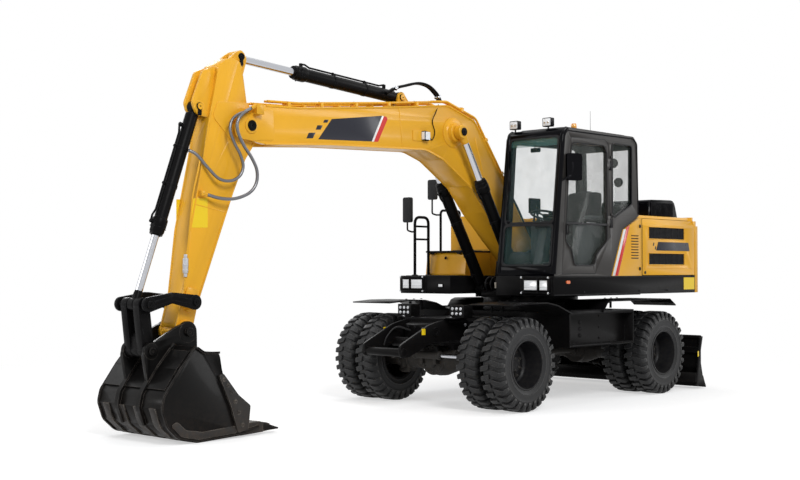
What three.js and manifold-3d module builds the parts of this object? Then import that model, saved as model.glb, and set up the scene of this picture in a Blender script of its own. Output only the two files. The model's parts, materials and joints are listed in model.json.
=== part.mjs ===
// Wheeled excavator on twin tyres, with a rear dozer blade and a backhoe arm.
// Millimetres. +X is forward, +Y is the cab's side (left), +Z is up. The model is laid out round
// the slew axis, and the outer group moves the middle of its footprint to the origin.
import * as THREE from "three";
import { mergeVertices } from "three/addons/utils/BufferGeometryUtils.js";
import Module from "manifold-3d";

const wasm = await Module();
wasm.setup();

// ---------------------------------------------------------------- driving dimensions
const wheelbase = 2800;
const frontAxleX = 1700;
const rearAxleX = frontAxleX - wheelbase;
const tyreRadius = 522;
const tyreWidth = 276;
const tyreSides = 20;
const twinSpacing = 335;
const overallWidth = 2500;
const rimRadius = 262;
const rimWall = 20;
const spindleRadius = 60;
const kingpinY = 560;
const kingpinRadius = 30;
const steeringArm = 240;

const bodyWidth = 2480;
const wingInnerY = 420;
const deckBottom = 1255;
const deckTop = 1475;
const frameBottom = 1215;
const ringRadius = 570;
const ringTop = 1150;
const bodyTop = 2225;
const tailX = -2200;
const seamX = -1880;
const cabInnerY = 430;
const cabWall = 50;
const cabHeight = 1690;
const glass = 6;
const panel = 40;

const boomWidth = 350;
const cheek = 52;
const sideGap = 8;
const stickWidth = boomWidth - 2 * cheek - 2 * sideGap;
const bucketWidth = 1000;
const bucketPlate = 25;
const sidePlate = 20;
const toothCount = 5;
const earClearance = 30;
const earGap = stickWidth / 2 + earClearance;
const earPlate = 40;
const guideClearance = 10;
const guideInnerY = earGap + earPlate + guideClearance;
const guidePlate = 35;
const linkPinRadius = 34;
const bladeWidth = 2500;
const boomCylinderOffset = 125;
const boomCylinderY = boomWidth / 2 + boomCylinderOffset;
const bladeCylinderY = 195;

const pinSides = 8;
const pinClearance = 0.4;
const contactGap = 0.3;
const paneGap = 0.5;
const runningGap = 6;
const shimGap = 0.5;
const lugHalf = 12;
const earHalf = 18;

// Pins of the arm at rest, as [x, z].
const boomFoot = [270, 1700];
const boomCylinderFoot = [580, 1320];
const boomCylinderEye = [1700, 3120];
const stickCylinderFoot = [2445, 3461];
const stickCylinderEye = [4754, 3616];
const stickPivot = [4697, 2943];
const bucketCylinderFoot = [5247, 3086];
const bucketCylinderEye = [5900, 1235];
const guidePin = [5392, 1248];
const linkPin = [5847, 817];
const bucketPivot = [5443, 974];
const bladePivot = [rearAxleX - 300, 440];
const bladeCylinderFoot = [rearAxleX - 460, 980];
const bladeCylinderEye = [rearAxleX - 650, 300];

// ---------------------------------------------------------------- finishes
function finish(color, roughness, metalness) {
  return new THREE.MeshStandardMaterial({ color, roughness, metalness });
}
const yellowPaint = finish(0xf0b41c, 0.38, 0.1);
const blackPaint = finish(0x1b1c1e, 0.5, 0.2);
const cabPaint = finish(0x33332f, 0.42, 0.2);
const tyreRubber = finish(0x17181a, 0.85, 0);
const chrome = finish(0xd8dadc, 0.12, 1);
const wornSteel = finish(0x4a3f36, 0.6, 0.6);
const castIron = finish(0x55585c, 0.65, 0.5);
const seatFabric = finish(0x222326, 0.9, 0);
const trimPlastic = finish(0x2b2d30, 0.6, 0);
const braid = finish(0xb9bcc0, 0.35, 0.7);
const tintedGlass = new THREE.MeshStandardMaterial({
  color: 0x9fb5ab,
  roughness: 0.06,
  metalness: 0,
  transparent: true,
  opacity: 0.35,
});

// ---------------------------------------------------------------- solids
function toSolid(geometry) {
  const bare = geometry.index ? geometry.toNonIndexed() : geometry.clone();
  bare.deleteAttribute("normal");
  bare.deleteAttribute("uv");
  const merged = mergeVertices(bare, 1e-3);
  return new wasm.Manifold(
    new wasm.Mesh({
      numProp: 3,
      vertProperties: merged.attributes.position.array,
      triVerts: new Uint32Array(merged.index.array),
    }),
  );
}

function toGeometry(solid) {
  const data = solid.getMesh();
  const geometry = new THREE.BufferGeometry();
  geometry.setAttribute("position", new THREE.BufferAttribute(data.vertProperties, data.numProp));
  geometry.setIndex(new THREE.BufferAttribute(data.triVerts, 1));
  geometry.computeVertexNormals();
  return geometry;
}

function join(...solids) {
  return solids.flat().reduce((sum, solid) => sum.add(solid));
}

function cut(solid, ...tools) {
  return tools.flat().reduce((rest, tool) => rest.subtract(tool), solid);
}

function block(x0, x1, y0, y1, z0, z1) {
  const geometry = new THREE.BoxGeometry(Math.abs(x1 - x0), Math.abs(y1 - y0), Math.abs(z1 - z0));
  geometry.translate((x0 + x1) / 2, (y0 + y1) / 2, (z0 + z1) / 2);
  return toSolid(geometry);
}

// A closed outline of [u, v] corners; a third number rounds that corner.
function outline(points) {
  const shape = new THREE.Shape();
  points.forEach(([u, v, radius = 0], i) => {
    const corner = new THREE.Vector2(u, v);
    const [beforeU, beforeV] = points.at(i - 1);
    const [afterU, afterV] = points[(i + 1) % points.length];
    const back = new THREE.Vector2(beforeU, beforeV).sub(corner);
    const ahead = new THREE.Vector2(afterU, afterV).sub(corner);
    const halfAngle = Math.abs(back.angleTo(ahead)) / 2;
    const limit = 0.45 * Math.min(back.length(), ahead.length());
    const reach = radius ? Math.min(radius / Math.tan(halfAngle), limit) : 0;
    const start = corner.clone().addScaledVector(back.normalize(), reach);
    const end = corner.clone().addScaledVector(ahead.normalize(), reach);
    if (i === 0) shape.moveTo(start.x, start.y);
    else shape.lineTo(start.x, start.y);
    if (reach > 0) shape.quadraticCurveTo(u, v, end.x, end.y);
  });
  shape.closePath();
  return shape;
}

function extruded(points, depth) {
  return new THREE.ExtrudeGeometry(outline(points), {
    depth,
    bevelEnabled: false,
    curveSegments: 3,
  });
}

// A plate whose outline is given in X and Z, from y0 to y1.
function plateY(points, y0, y1) {
  const geometry = extruded(points, Math.abs(y1 - y0));
  geometry.rotateX(Math.PI / 2);
  geometry.translate(0, Math.max(y0, y1), 0);
  return toSolid(geometry);
}

// A plate whose outline is given in Y and Z, from x0 to x1.
function plateX(points, x0, x1) {
  const geometry = extruded(points, Math.abs(x1 - x0));
  geometry.applyMatrix4(
    new THREE.Matrix4().makeBasis(
      new THREE.Vector3(0, 1, 0),
      new THREE.Vector3(0, 0, 1),
      new THREE.Vector3(1, 0, 0),
    ),
  );
  geometry.translate(Math.min(x0, x1), 0, 0);
  return toSolid(geometry);
}

// A plate whose outline is given in X and Y, from z0 to z1.
function plateZ(points, z0, z1) {
  const geometry = extruded(points, Math.abs(z1 - z0));
  geometry.translate(0, 0, Math.min(z0, z1));
  return toSolid(geometry);
}

function barY([x, z], radius, y0, y1, sides = pinSides) {
  const geometry = new THREE.CylinderGeometry(radius, radius, Math.abs(y1 - y0), sides);
  geometry.translate(x, (y0 + y1) / 2, z);
  return toSolid(geometry);
}

function barX([y, z], radius, x0, x1, sides = pinSides) {
  const geometry = new THREE.CylinderGeometry(radius, radius, Math.abs(x1 - x0), sides);
  geometry.rotateZ(-Math.PI / 2);
  geometry.translate((x0 + x1) / 2, y, z);
  return toSolid(geometry);
}

function barZ([x, y], radius, z0, z1, sides = pinSides) {
  const geometry = new THREE.CylinderGeometry(radius, radius, Math.abs(z1 - z0), sides);
  geometry.rotateX(Math.PI / 2);
  geometry.translate(x, y, (z0 + z1) / 2);
  return toSolid(geometry);
}

// The radius of a faceted bore that lets a pin turn in it.
function boreRadius(pinRadius) {
  return pinRadius / Math.cos(Math.PI / pinSides) + pinClearance;
}

// A body of revolution round the Y axis; the profile of [radius, y] closes on the axis or on itself.
function turnedGeometry(profile, sides, phase = 0) {
  const points = profile.map(([radius, y]) => new THREE.Vector2(radius, y));
  const onAxis = profile[0][0] === 0;
  if (!onAxis) points.push(points[0].clone());
  if (THREE.ShapeUtils.area(points) < 0) points.reverse();
  return new THREE.LatheGeometry(points, sides, phase);
}

// A strap between two round ends.
function strap(a, radiusA, b, radiusB, y0, y1) {
  const along = new THREE.Vector2(b[0] - a[0], b[1] - a[1]).normalize();
  const edge = [
    [a[0] - along.y * radiusA, a[1] + along.x * radiusA],
    [b[0] - along.y * radiusB, b[1] + along.x * radiusB],
    [b[0] + along.y * radiusB, b[1] - along.x * radiusB],
    [a[0] + along.y * radiusA, a[1] - along.x * radiusA],
  ];
  return join(barY(a, radiusA, y0, y1), barY(b, radiusB, y0, y1), plateY(edge, y0, y1));
}

// The outline of a bent sheet that follows a line of [u, v] points, its thickness on the left.
function ribbon(points, thickness) {
  const inner = points.map(([u, v], i) => {
    const [beforeU, beforeV] = points[Math.max(i - 1, 0)];
    const [afterU, afterV] = points[Math.min(i + 1, points.length - 1)];
    const normal = new THREE.Vector2(beforeV - afterV, afterU - beforeU).normalize();
    return [u + normal.x * thickness, v + normal.y * thickness];
  });
  return [...points, ...inner.reverse()];
}

// A bar of round section along a curve through the points.
function pipe(points, radius, steps, sides = 8) {
  const curve = new THREE.CatmullRomCurve3(points.map((p) => new THREE.Vector3(...p)));
  const section = new THREE.Shape();
  for (let i = 0; i < sides; i += 1) {
    const angle = (2 * Math.PI * i) / sides;
    const corner = [radius * Math.cos(angle), radius * Math.sin(angle)];
    if (i === 0) section.moveTo(...corner);
    else section.lineTo(...corner);
  }
  section.closePath();
  const geometry = new THREE.ExtrudeGeometry(section, { steps, extrudePath: curve });
  return toSolid(geometry);
}

// ---------------------------------------------------------------- scene graph
const machine = new THREE.Group();

function addMesh(name, solid, material) {
  const mesh = new THREE.Mesh(toGeometry(solid), material.clone());
  mesh.name = name;
  machine.add(mesh);
  return mesh;
}

const sides = { left: 1, right: -1 };

// ---------------------------------------------------------------- hydraulic cylinders
// A cylinder from its foot pin to its rod eye, both [x, z], centred on y.
function placeAlong(geometry, foot, eye, y) {
  const along = new THREE.Vector3(eye[0] - foot[0], 0, eye[1] - foot[1]).normalize();
  const across = new THREE.Vector3(0, 1, 0);
  const third = new THREE.Vector3().crossVectors(along, across);
  geometry.applyMatrix4(new THREE.Matrix4().makeBasis(third, along, across));
  geometry.translate(foot[0], y, foot[1]);
  return toSolid(geometry);
}

function cylinderBarrel(size, foot, eye, y) {
  const { barrelRadius, pistonRadius, rodRadius, barrelLength, eyeRadius, eyeWidth, pinRadius } =
    size;
  const neckRadius = eyeWidth * 0.48;
  const bodyStart = eyeRadius + 20;
  const glandLength = 60;
  const profile = [
    [0, 0],
    [neckRadius, 0],
    [neckRadius, bodyStart],
    [barrelRadius, bodyStart],
    [barrelRadius, barrelLength],
    [rodRadius + pinClearance + 0.4, barrelLength],
    [rodRadius + pinClearance + 0.4, barrelLength - glandLength],
    [pistonRadius + pinClearance + 0.4, barrelLength - glandLength],
    [pistonRadius + pinClearance + 0.4, bodyStart + 25],
    [0, bodyStart + 25],
  ];
  const body = placeAlong(turnedGeometry(profile, pinSides), foot, eye, y);
  const eyeRing = barY(foot, eyeRadius, y - eyeWidth / 2, y + eyeWidth / 2);
  const bore = barY(foot, boreRadius(pinRadius), y - eyeWidth, y + eyeWidth);
  return cut(join(body, eyeRing), bore);
}

function cylinderRod(size, foot, eye, y) {
  const { pistonRadius, rodRadius, rodLength, rodEyeRadius, rodEyeWidth } = size;
  const length = Math.hypot(eye[0] - foot[0], eye[1] - foot[1]);
  const start = length - rodLength;
  const profile = [
    [0, start],
    [pistonRadius, start],
    [pistonRadius, start + 50],
    [rodRadius, start + 50],
    [rodRadius, length],
    [0, length],
  ];
  const body = placeAlong(turnedGeometry(profile, pinSides), foot, eye, y);
  return join(body, barY(eye, rodEyeRadius, y - rodEyeWidth / 2, y + rodEyeWidth / 2));
}

const boomCylinder = {
  barrelRadius: 68,
  pistonRadius: 55,
  rodRadius: 40,
  barrelLength: 1490,
  rodLength: 1080,
  eyeRadius: 70,
  eyeWidth: 80,
  pinRadius: 35,
  rodEyeRadius: 76,
  rodEyeWidth: 88,
};
const stickCylinder = {
  barrelRadius: 68,
  pistonRadius: 57,
  rodRadius: 40,
  barrelLength: 1560,
  rodLength: 1400,
  eyeRadius: 62,
  eyeWidth: 90,
  pinRadius: 35,
  rodEyeRadius: 62,
  rodEyeWidth: 88,
};
const bucketCylinder = {
  barrelRadius: 62,
  pistonRadius: 50,
  rodRadius: 35,
  barrelLength: 1290,
  rodLength: 1290,
  eyeRadius: 58,
  eyeWidth: 84,
  pinRadius: 32,
  rodEyeRadius: 60,
  rodEyeWidth: 84,
};
const bladeCylinder = {
  barrelRadius: 46,
  pistonRadius: 36,
  rodRadius: 25,
  barrelLength: 430,
  rodLength: 440,
  eyeRadius: 42,
  eyeWidth: 60,
  pinRadius: 22,
  rodEyeRadius: 40,
  rodEyeWidth: 60,
};

// How far from a cylinder's middle the middle of each lug beside its foot eye lies.
function lugOffset(size, lugHalfWidth) {
  return size.eyeWidth / 2 + shimGap + lugHalfWidth;
}

// ---------------------------------------------------------------- undercarriage
const axleZ = tyreRadius * Math.cos(Math.PI / tyreSides);
const outerTyreY = (overallWidth - tyreWidth) / 2;
const innerTyreY = outerTyreY - twinSpacing;
const hubY = (outerTyreY + innerTyreY) / 2;
const chassisHalf = 290;
const chassisTop = 1000;
const chassisBottom = 700;
const chassisFrontX = frontAxleX + 300;
const chassisRearX = rearAxleX - 230;
const saddleZ = 640;
const centreHalf = 480;
const padInner = 190;
const padOuter = 280;
const differentialRadius = 160;
const ringSides = 28;

function chassisFrame() {
  const spine = block(chassisRearX, chassisFrontX, -chassisHalf, chassisHalf, chassisBottom, chassisTop);
  const centre = block(-650, 750, -centreHalf, centreHalf, 760, ringTop - 100);
  const ring = barZ([0, 0], ringRadius, ringTop - 101, ringTop, ringSides);
  const saddles = [frontAxleX, rearAxleX].flatMap((x) =>
    Object.values(sides).map((s) =>
      block(x - 110, x + 110, s * padInner, s * padOuter, saddleZ, chassisBottom + 1),
    ),
  );
  const towOutline = [
    [chassisFrontX - 60, chassisBottom + 10],
    [chassisFrontX - 60, chassisTop - 10],
    [chassisFrontX + 130, chassisTop - 40, 60],
    [chassisFrontX + 250, chassisTop - 70, 90],
    [chassisFrontX + 700, 730, 60],
    [chassisFrontX + 700, 590, 50],
    [chassisFrontX + 560, 600, 80],
    [chassisFrontX + 180, chassisBottom + 40, 90],
  ];
  const towBar = barY([chassisFrontX + 650, 650], 42, -chassisHalf + 1, chassisHalf - 1);
  const tow = Object.values(sides).map((s) =>
    plateY(towOutline, s * (chassisHalf - 30), s * chassisHalf),
  );
  const bladeLugs = Object.values(sides).map((s) => {
    const pivotLug = plateY(
      [
        [chassisRearX + 60, chassisBottom + 30],
        [bladePivot[0] - 50, chassisBottom + 30],
        [bladePivot[0] - 70, bladePivot[1], 50],
        [bladePivot[0], bladePivot[1] - 80, 60],
        [bladePivot[0] + 80, bladePivot[1], 40],
        [chassisRearX + 60, chassisBottom - 60],
      ],
      s * (chassisHalf - 50),
      s * chassisHalf,
    );
    const pin = join(
      barY(bladePivot, 30, s * (chassisHalf - 1), s * (chassisHalf + 75)),
      barY(bladePivot, 60, s * (chassisHalf - 1), s * (chassisHalf + runningGap - shimGap)),
    );
    const footLugs = [-1, 1].map((n) => bladeCylinderY + n * lugOffset(bladeCylinder, lugHalf)).map((y) =>
      plateY(
        [
          [chassisRearX + 10, chassisTop - 1],
          [bladeCylinderFoot[0], bladeCylinderFoot[1] + 50, 40],
          [bladeCylinderFoot[0] - 50, bladeCylinderFoot[1], 40],
          [bladeCylinderFoot[0], bladeCylinderFoot[1] - 50, 40],
          [chassisRearX + 10, chassisTop - 160],
        ],
        s * y - lugHalf,
        s * y + lugHalf,
      ),
    );
    const footPin = barY(bladeCylinderFoot, bladeCylinder.pinRadius, s * 145, s * 245);
    return join(pivotLug, pin, footLugs, footPin);
  });
  return join(spine, centre, ring, saddles, tow, towBar, bladeLugs);
}

function axleHousing(x, halfWidth) {
  return join(
    barY([x, axleZ], 105, -halfWidth, halfWidth, 16),
    barX([0, axleZ], differentialRadius, x - 150, x + 150, 16),
    ...Object.values(sides).map((s) =>
      block(x - 100, x + 100, s * padInner, s * padOuter, axleZ + 60, saddleZ - contactGap),
    ),
  );
}

const yokeTop = axleZ + 122;
const yokeBottom = axleZ - 122;
const knuckleHalf = yokeTop - axleZ - shimGap;
const armZ = axleZ + 18;
const steeringRodX = frontAxleX + steeringArm;
const steeringRodZ = armZ + 45;
const steeringRodRadius = 22;
const hubHalf = 90;
const hubSeat = hubY - hubHalf - shimGap;

function frontAxle() {
  const beam = axleHousing(frontAxleX, kingpinY - 110);
  const yokes = Object.values(sides).map((s) =>
    join(
      block(
        frontAxleX - 70, frontAxleX + 70, s * (kingpinY - 125), s * (kingpinY - 85),
        yokeBottom - 35, yokeTop + 35,
      ),
      block(
        frontAxleX - 60, frontAxleX + 60, s * (kingpinY - 90), s * (kingpinY + 50),
        yokeTop, yokeTop + 35,
      ),
      block(
        frontAxleX - 60, frontAxleX + 60, s * (kingpinY - 90), s * (kingpinY + 50),
        yokeBottom - 35, yokeBottom,
      ),
      barZ([frontAxleX, s * kingpinY], kingpinRadius, yokeBottom - 1, yokeTop + 1),
    ),
  );
  const cylinder = cut(
    join(
      barY([steeringRodX, steeringRodZ], 42, -190, 190),
      block(frontAxleX + 100, steeringRodX, -120, -80, axleZ - 40, steeringRodZ + 10),
      block(frontAxleX + 100, steeringRodX, 80, 120, axleZ - 40, steeringRodZ + 10),
    ),
    barY([steeringRodX, steeringRodZ], steeringRodRadius + shimGap, -200, 200),
  );
  return join(beam, yokes, cylinder);
}

function rearAxle() {
  const ends = Object.values(sides).map((s) =>
    join(
      barY([rearAxleX, axleZ], 130, s * 540, s * (kingpinY + 60), 20),
      barY([rearAxleX, axleZ], spindleRadius, s * kingpinY, s * (hubY + hubHalf)),
      barY([rearAxleX, axleZ], spindleRadius + 30, s * kingpinY, s * hubSeat),
    ),
  );
  return join(axleHousing(rearAxleX, kingpinY), ends);
}

function knuckle(s) {
  const pinAt = [frontAxleX, s * kingpinY];
  const body = cut(
    join(
      barZ(pinAt, 62, axleZ - knuckleHalf, axleZ + knuckleHalf),
      barY([frontAxleX, axleZ], 80, s * (kingpinY + 20), s * (kingpinY + 90)),
    ),
    barZ(pinAt, boreRadius(kingpinRadius), yokeBottom, yokeTop),
  );
  const spindle = barY(
    [frontAxleX, axleZ], spindleRadius, s * (kingpinY + 45), s * (hubY + hubHalf),
  );
  const shoulder = barY([frontAxleX, axleZ], spindleRadius + 30, s * (kingpinY + 89), s * hubSeat);
  const arm = plateZ(
    [
      [frontAxleX + 40, s * (kingpinY - 15)],
      [frontAxleX + 40, s * (kingpinY + 30)],
      [steeringRodX + 30, s * (kingpinY - 10), 30],
      [steeringRodX + 30, s * (kingpinY - 65), 30],
    ],
    armZ - 15,
    armZ + 15,
  );
  return join(body, spindle, shoulder, arm);
}

function steeringRod() {
  const reach = kingpinY - 40;
  const eyes = Object.values(sides).map((s) =>
    barZ([steeringRodX, s * reach], 28, armZ + 15 + runningGap, steeringRodZ + 20),
  );
  return join(barY([steeringRodX, steeringRodZ], steeringRodRadius, -reach, reach), eyes);
}

// Two tyres and the spacer band between their beads, as one turned body.
function tyrePair(x, s) {
  const half = tyreWidth / 2;
  const bore = rimRadius + contactGap;
  const flank = [
    [rimRadius + 80, half],
    [tyreRadius - 60, half - 2],
    [tyreRadius, half - 46],
  ];
  const section = (y) => [
    ...flank.map(([r, w]) => [r, y - w]),
    ...flank.map(([r, w]) => [r, y + w]).reverse(),
  ];
  const profile = [
    [bore, innerTyreY - half + 28],
    ...section(innerTyreY),
    [bore + 30, innerTyreY + half - 18],
    [bore + 30, outerTyreY - half + 18],
    ...section(outerTyreY),
    [bore, outerTyreY + half - 28],
  ].map(([r, y]) => [r, s * y]);
  const geometry = turnedGeometry(profile, tyreSides, Math.PI / tyreSides);
  geometry.translate(x, 0, axleZ);
  return toSolid(geometry);
}

function rim(x, s) {
  const inner = innerTyreY - tyreWidth / 2 + 14;
  const outer = outerTyreY + tyreWidth / 2 - 14;
  const bore = rimRadius - rimWall;
  const disc = hubY + 60;
  const hub = spindleRadius + 45;
  const profile = [
    [rimRadius, inner],
    [rimRadius, outer],
    [bore, outer],
    [bore, disc + 20],
    [hub, disc - 20],
    [hub - 25, hubY + 120],
    [0, hubY + 120],
    [0, hubY + 95],
    [boreRadius(spindleRadius), hubY + 95],
    [boreRadius(spindleRadius), hubY - hubHalf],
    [hub, hubY - hubHalf],
    [bore, disc - 5],
    [bore, inner],
  ].map(([r, y]) => [r, s * y]);
  const start = profile.findIndex(([r]) => r === 0);
  const around = [...profile.slice(start + 1), ...profile.slice(0, start + 1)];
  const geometry = turnedGeometry(around, tyreSides, Math.PI / tyreSides);
  geometry.translate(x, 0, axleZ);
  return toSolid(geometry);
}

const stepTop = 1070;
const stepBottom = 660;
const stepInner = ringRadius + 30;

function sideStep(s) {
  const y0 = s * (centreHalf + contactGap);
  const edge = s * (bodyWidth / 2 - 40);
  const front = frontAxleX - 840;
  const rear = rearAxleX + tyreRadius + 98;
  const body = join(
    block(rear, front, y0, edge - s * 120, stepBottom + 20, ringTop - 105),
    block(rear, front, s * stepInner, edge, stepTop - 40, stepTop),
    block(rear, front, y0, edge, stepBottom, stepBottom + 30),
    block(rear, rear + 20, s * stepInner, edge, stepBottom, stepTop),
    block(front - 20, front, s * stepInner, edge, stepBottom, stepTop),
  );
  const fenderInner = s * (ringRadius + 35);
  const frontFender = plateY(
    ribbon(
      [
        [frontAxleX + 230, 1165],
        [frontAxleX - 60, 1185],
        [frontAxleX - 400, 1185],
        [frontAxleX - 600, 1150],
        [front - 25, 1055],
      ],
      14,
    ),
    fenderInner,
    s * (bodyWidth / 2 - 20),
  );
  const rearFender = plateY(
    ribbon(
      [
        [rear + 690, 1055],
        [rear + 600, 1160],
        [rear + 520, 1185],
        [rearAxleX - 200, 1185],
        [rearAxleX - 340, 1105],
      ],
      14,
    ),
    fenderInner,
    s * (bodyWidth / 2 - 20),
  );
  return join(body, frontFender, rearFender);
}

function driveLine() {
  const front = frontAxleX - 150 - contactGap;
  const rear = rearAxleX + 150 + contactGap;
  return join(
    barX([0, axleZ], 45, rear, front, 12),
    barX([0, axleZ], 75, rear, rear + 40, 16),
    barX([0, axleZ], 75, front - 40, front, 16),
    block(-150, 350, -170, 170, axleZ - 110, chassisBottom - contactGap),
  );
}

addMesh("chassis_frame", chassisFrame(), blackPaint);
addMesh("front_axle", frontAxle(), blackPaint);
addMesh("rear_axle", rearAxle(), blackPaint);
addMesh("drive_line", driveLine(), castIron);
addMesh("steering_rod", steeringRod(), chrome);
for (const [side, s] of Object.entries(sides)) {
  addMesh(`side_step_${side}`, sideStep(s), blackPaint);
  addMesh(`knuckle_${side}`, knuckle(s), blackPaint);
  for (const [end, x] of [["front", frontAxleX], ["rear", rearAxleX]]) {
    addMesh(`tyres_${end}_${side}`, tyrePair(x, s), tyreRubber);
    addMesh(`rim_${end}_${side}`, rim(x, s), blackPaint);
  }
}

// ---------------------------------------------------------------- dozer blade
function dozerBlade() {
  const half = bladeWidth / 2;
  const mouldboard = ribbon(
    [
      [rearAxleX - 1037, 30],
      [rearAxleX - 960, 150],
      [rearAxleX - 910, 330],
      [rearAxleX - 910, 500],
      [rearAxleX - 960, 675],
    ],
    -22,
  );
  const endPlate = [
    [rearAxleX - 1037, 30],
    [rearAxleX - 960, 150],
    [rearAxleX - 910, 330],
    [rearAxleX - 910, 500],
    [rearAxleX - 960, 675],
    [rearAxleX - 890, 675, 20],
    [rearAxleX - 840, 400, 30],
    [rearAxleX - 800, 60, 30],
    [rearAxleX - 860, 30],
  ];
  const shell = join(
    plateY(mouldboard, -half, half),
    block(rearAxleX - 890, rearAxleX - 780, -half + 5, half - 5, 90, 210),
    block(rearAxleX - 915, rearAxleX - 850, -half + 5, half - 5, 470, 540),
  );
  const ends = Object.values(sides).map((s) => plateY(endPlate, s * (half - 20), s * half));
  const arms = Object.values(sides).map((s) => {
    const inner = chassisHalf + runningGap;
    const arm = strap(bladePivot, 65, [rearAxleX - 840, 300], 80, s * inner, s * (inner + 45));
    const web = plateY(
      [
        [rearAxleX - 790, 200],
        [rearAxleX - 900, 200],
        [rearAxleX - 900, 520],
        [rearAxleX - 800, 420],
      ],
      s * inner,
      s * (inner + 45),
    );
    return cut(join(arm, web), barY(bladePivot, boreRadius(30), s * (inner - 5), s * (inner + 60)));
  });
  const eyeLugs = Object.values(sides).flatMap((s) =>
    [-1, 1].map((n) => bladeCylinderY + n * lugOffset(bladeCylinder, lugHalf)).map((y) =>
      plateY(
        [
          [rearAxleX - 885, 420],
          [bladeCylinderEye[0], bladeCylinderEye[1] + 48, 40],
          [bladeCylinderEye[0] + 48, bladeCylinderEye[1], 40],
          [bladeCylinderEye[0], bladeCylinderEye[1] - 48, 40],
          [rearAxleX - 800, 190],
        ],
        s * y - 12,
        s * y + 12,
      ),
    ),
  );
  return join(shell, ends, arms, eyeLugs);
}

function bladeCylinders(make) {
  return Object.values(sides).map((s) =>
    make(bladeCylinder, bladeCylinderFoot, bladeCylinderEye, s * bladeCylinderY),
  );
}

addMesh("dozer_blade", dozerBlade(), blackPaint);
bladeCylinders(cylinderBarrel).forEach((solid, i) => {
  addMesh(`blade_cylinder_barrel_${Object.keys(sides)[i]}`, solid, blackPaint);
});
bladeCylinders(cylinderRod).forEach((solid, i) => {
  addMesh(`blade_cylinder_rod_${Object.keys(sides)[i]}`, solid, chrome);
});

// ---------------------------------------------------------------- upper structure
const bodyHalf = bodyWidth / 2;
const hoodZ = 2185;
const bayFrontX = -610;
const bracketInner = boomWidth / 2 + 18;
const bracketPlate = 26;
const floorTop = 1290;
const engineDoorHinge = [seamX + 32, bodyHalf - panel / 2];
const engineDoorPin = 8;

function upperFrame() {
  const centre = join(
    block(seamX, 700, -225, 225, frameBottom, floorTop),
    block(seamX, boomCylinderFoot[0] - 140, -wingInnerY - 1, wingInnerY + 1, frameBottom, floorTop),
  );
  const ring = barZ(
    [0, 0], ringRadius + 20, ringTop + contactGap, frameBottom + 1, ringSides,
  );
  const leftWing = block(seamX, 1215, wingInnerY, bodyHalf, deckBottom, deckTop);
  const rightWing = block(seamX, 1060, -wingInnerY, -bodyHalf, deckBottom, deckTop);
  const bulkhead = block(
    bayFrontX - 30, bayFrontX, -bodyHalf + 90, bodyHalf - 90, floorTop - 1, hoodZ - contactGap,
  );
  const brackets = Object.values(sides).map((s) =>
    join(
      plateY(
        [
          [-420, floorTop - 5],
          [480, floorTop - 5],
          [440, 1500],
          [boomFoot[0] + 120, boomFoot[1] + 40, 90],
          [boomFoot[0] - 20, boomFoot[1] + 120, 90],
          [boomFoot[0] - 140, boomFoot[1] + 20, 90],
          [-120, 1500],
        ],
        s * bracketInner,
        s * (bracketInner + bracketPlate),
      ),
      [-1, 1].map((side) => boomCylinderY + side * lugOffset(boomCylinder, lugHalf)).map((y) =>
        plateY(
          [
            [boomCylinderFoot[0] - 160, frameBottom + 2],
            [boomCylinderFoot[0] - 160, boomCylinderFoot[1] + 60],
            [boomCylinderFoot[0] - 20, boomCylinderFoot[1] + 68, 50],
            [boomCylinderFoot[0] + 68, boomCylinderFoot[1], 50],
            [boomCylinderFoot[0] + 60, frameBottom + 2],
          ],
          s * y - lugHalf,
          s * y + lugHalf,
        ),
      ),
      barY(boomCylinderFoot, boomCylinder.pinRadius, s * (boomCylinderY - 60), s * (boomCylinderY + 60)),
    ),
  );
  const footPin = barY(boomFoot, 45, -bracketInner - bracketPlate - 20, bracketInner + bracketPlate + 20);
  const doorPins = Object.values(sides).map((s) =>
    barZ([engineDoorHinge[0], s * engineDoorHinge[1]], engineDoorPin, deckTop - 1, deckTop + 70),
  );
  return join(centre, ring, leftWing, rightWing, bulkhead, brackets, footPin, doorPins);
}

function counterweight() {
  const plan = (inset) => [
    [seamX - contactGap, -bodyHalf + inset],
    [seamX - contactGap, bodyHalf - inset],
    [-1985 + inset, bodyHalf - inset, 120],
    [-2110 + inset, bodyHalf - 330, 200],
    [tailX + inset, 520, 300],
    [tailX + inset, -520, 300],
    [-2110 + inset, -bodyHalf + 330, 200],
    [-1985 + inset, -bodyHalf + inset, 120],
  ];
  return join(
    plateZ(plan(0), deckBottom, bodyTop - 110),
    plateZ(plan(18), bodyTop - 111, bodyTop - 45),
    plateZ(plan(50), bodyTop - 46, bodyTop + 5),
  );
}

// Left engine door, right engine door: hinged at the rear edge.
function engineDoor(s) {
  const front = bayFrontX - 8;
  const rear = seamX + 14;
  const skin = plateX(
    [
      [s * (bodyHalf - panel), deckTop + 8],
      [s * bodyHalf, deckTop + 8],
      [s * bodyHalf, bodyTop - 120, 60],
      [s * (bodyHalf - 45), hoodZ - 6],
      [s * (bodyHalf - panel - 45), hoodZ - 6],
      [s * (bodyHalf - panel), bodyTop - 125, 40],
    ],
    rear,
    front,
  );
  const slots = [
    [1615, 1750],
    [1935, 2075],
  ].map(([low, high]) => block(-1617, -767, s * (bodyHalf - 18), s * (bodyHalf + 10), low, high));
  const bore = barZ(
    [engineDoorHinge[0], s * engineDoorHinge[1]], boreRadius(engineDoorPin), deckTop, deckTop + 75,
  );
  return cut(skin, slots, bore);
}

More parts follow.
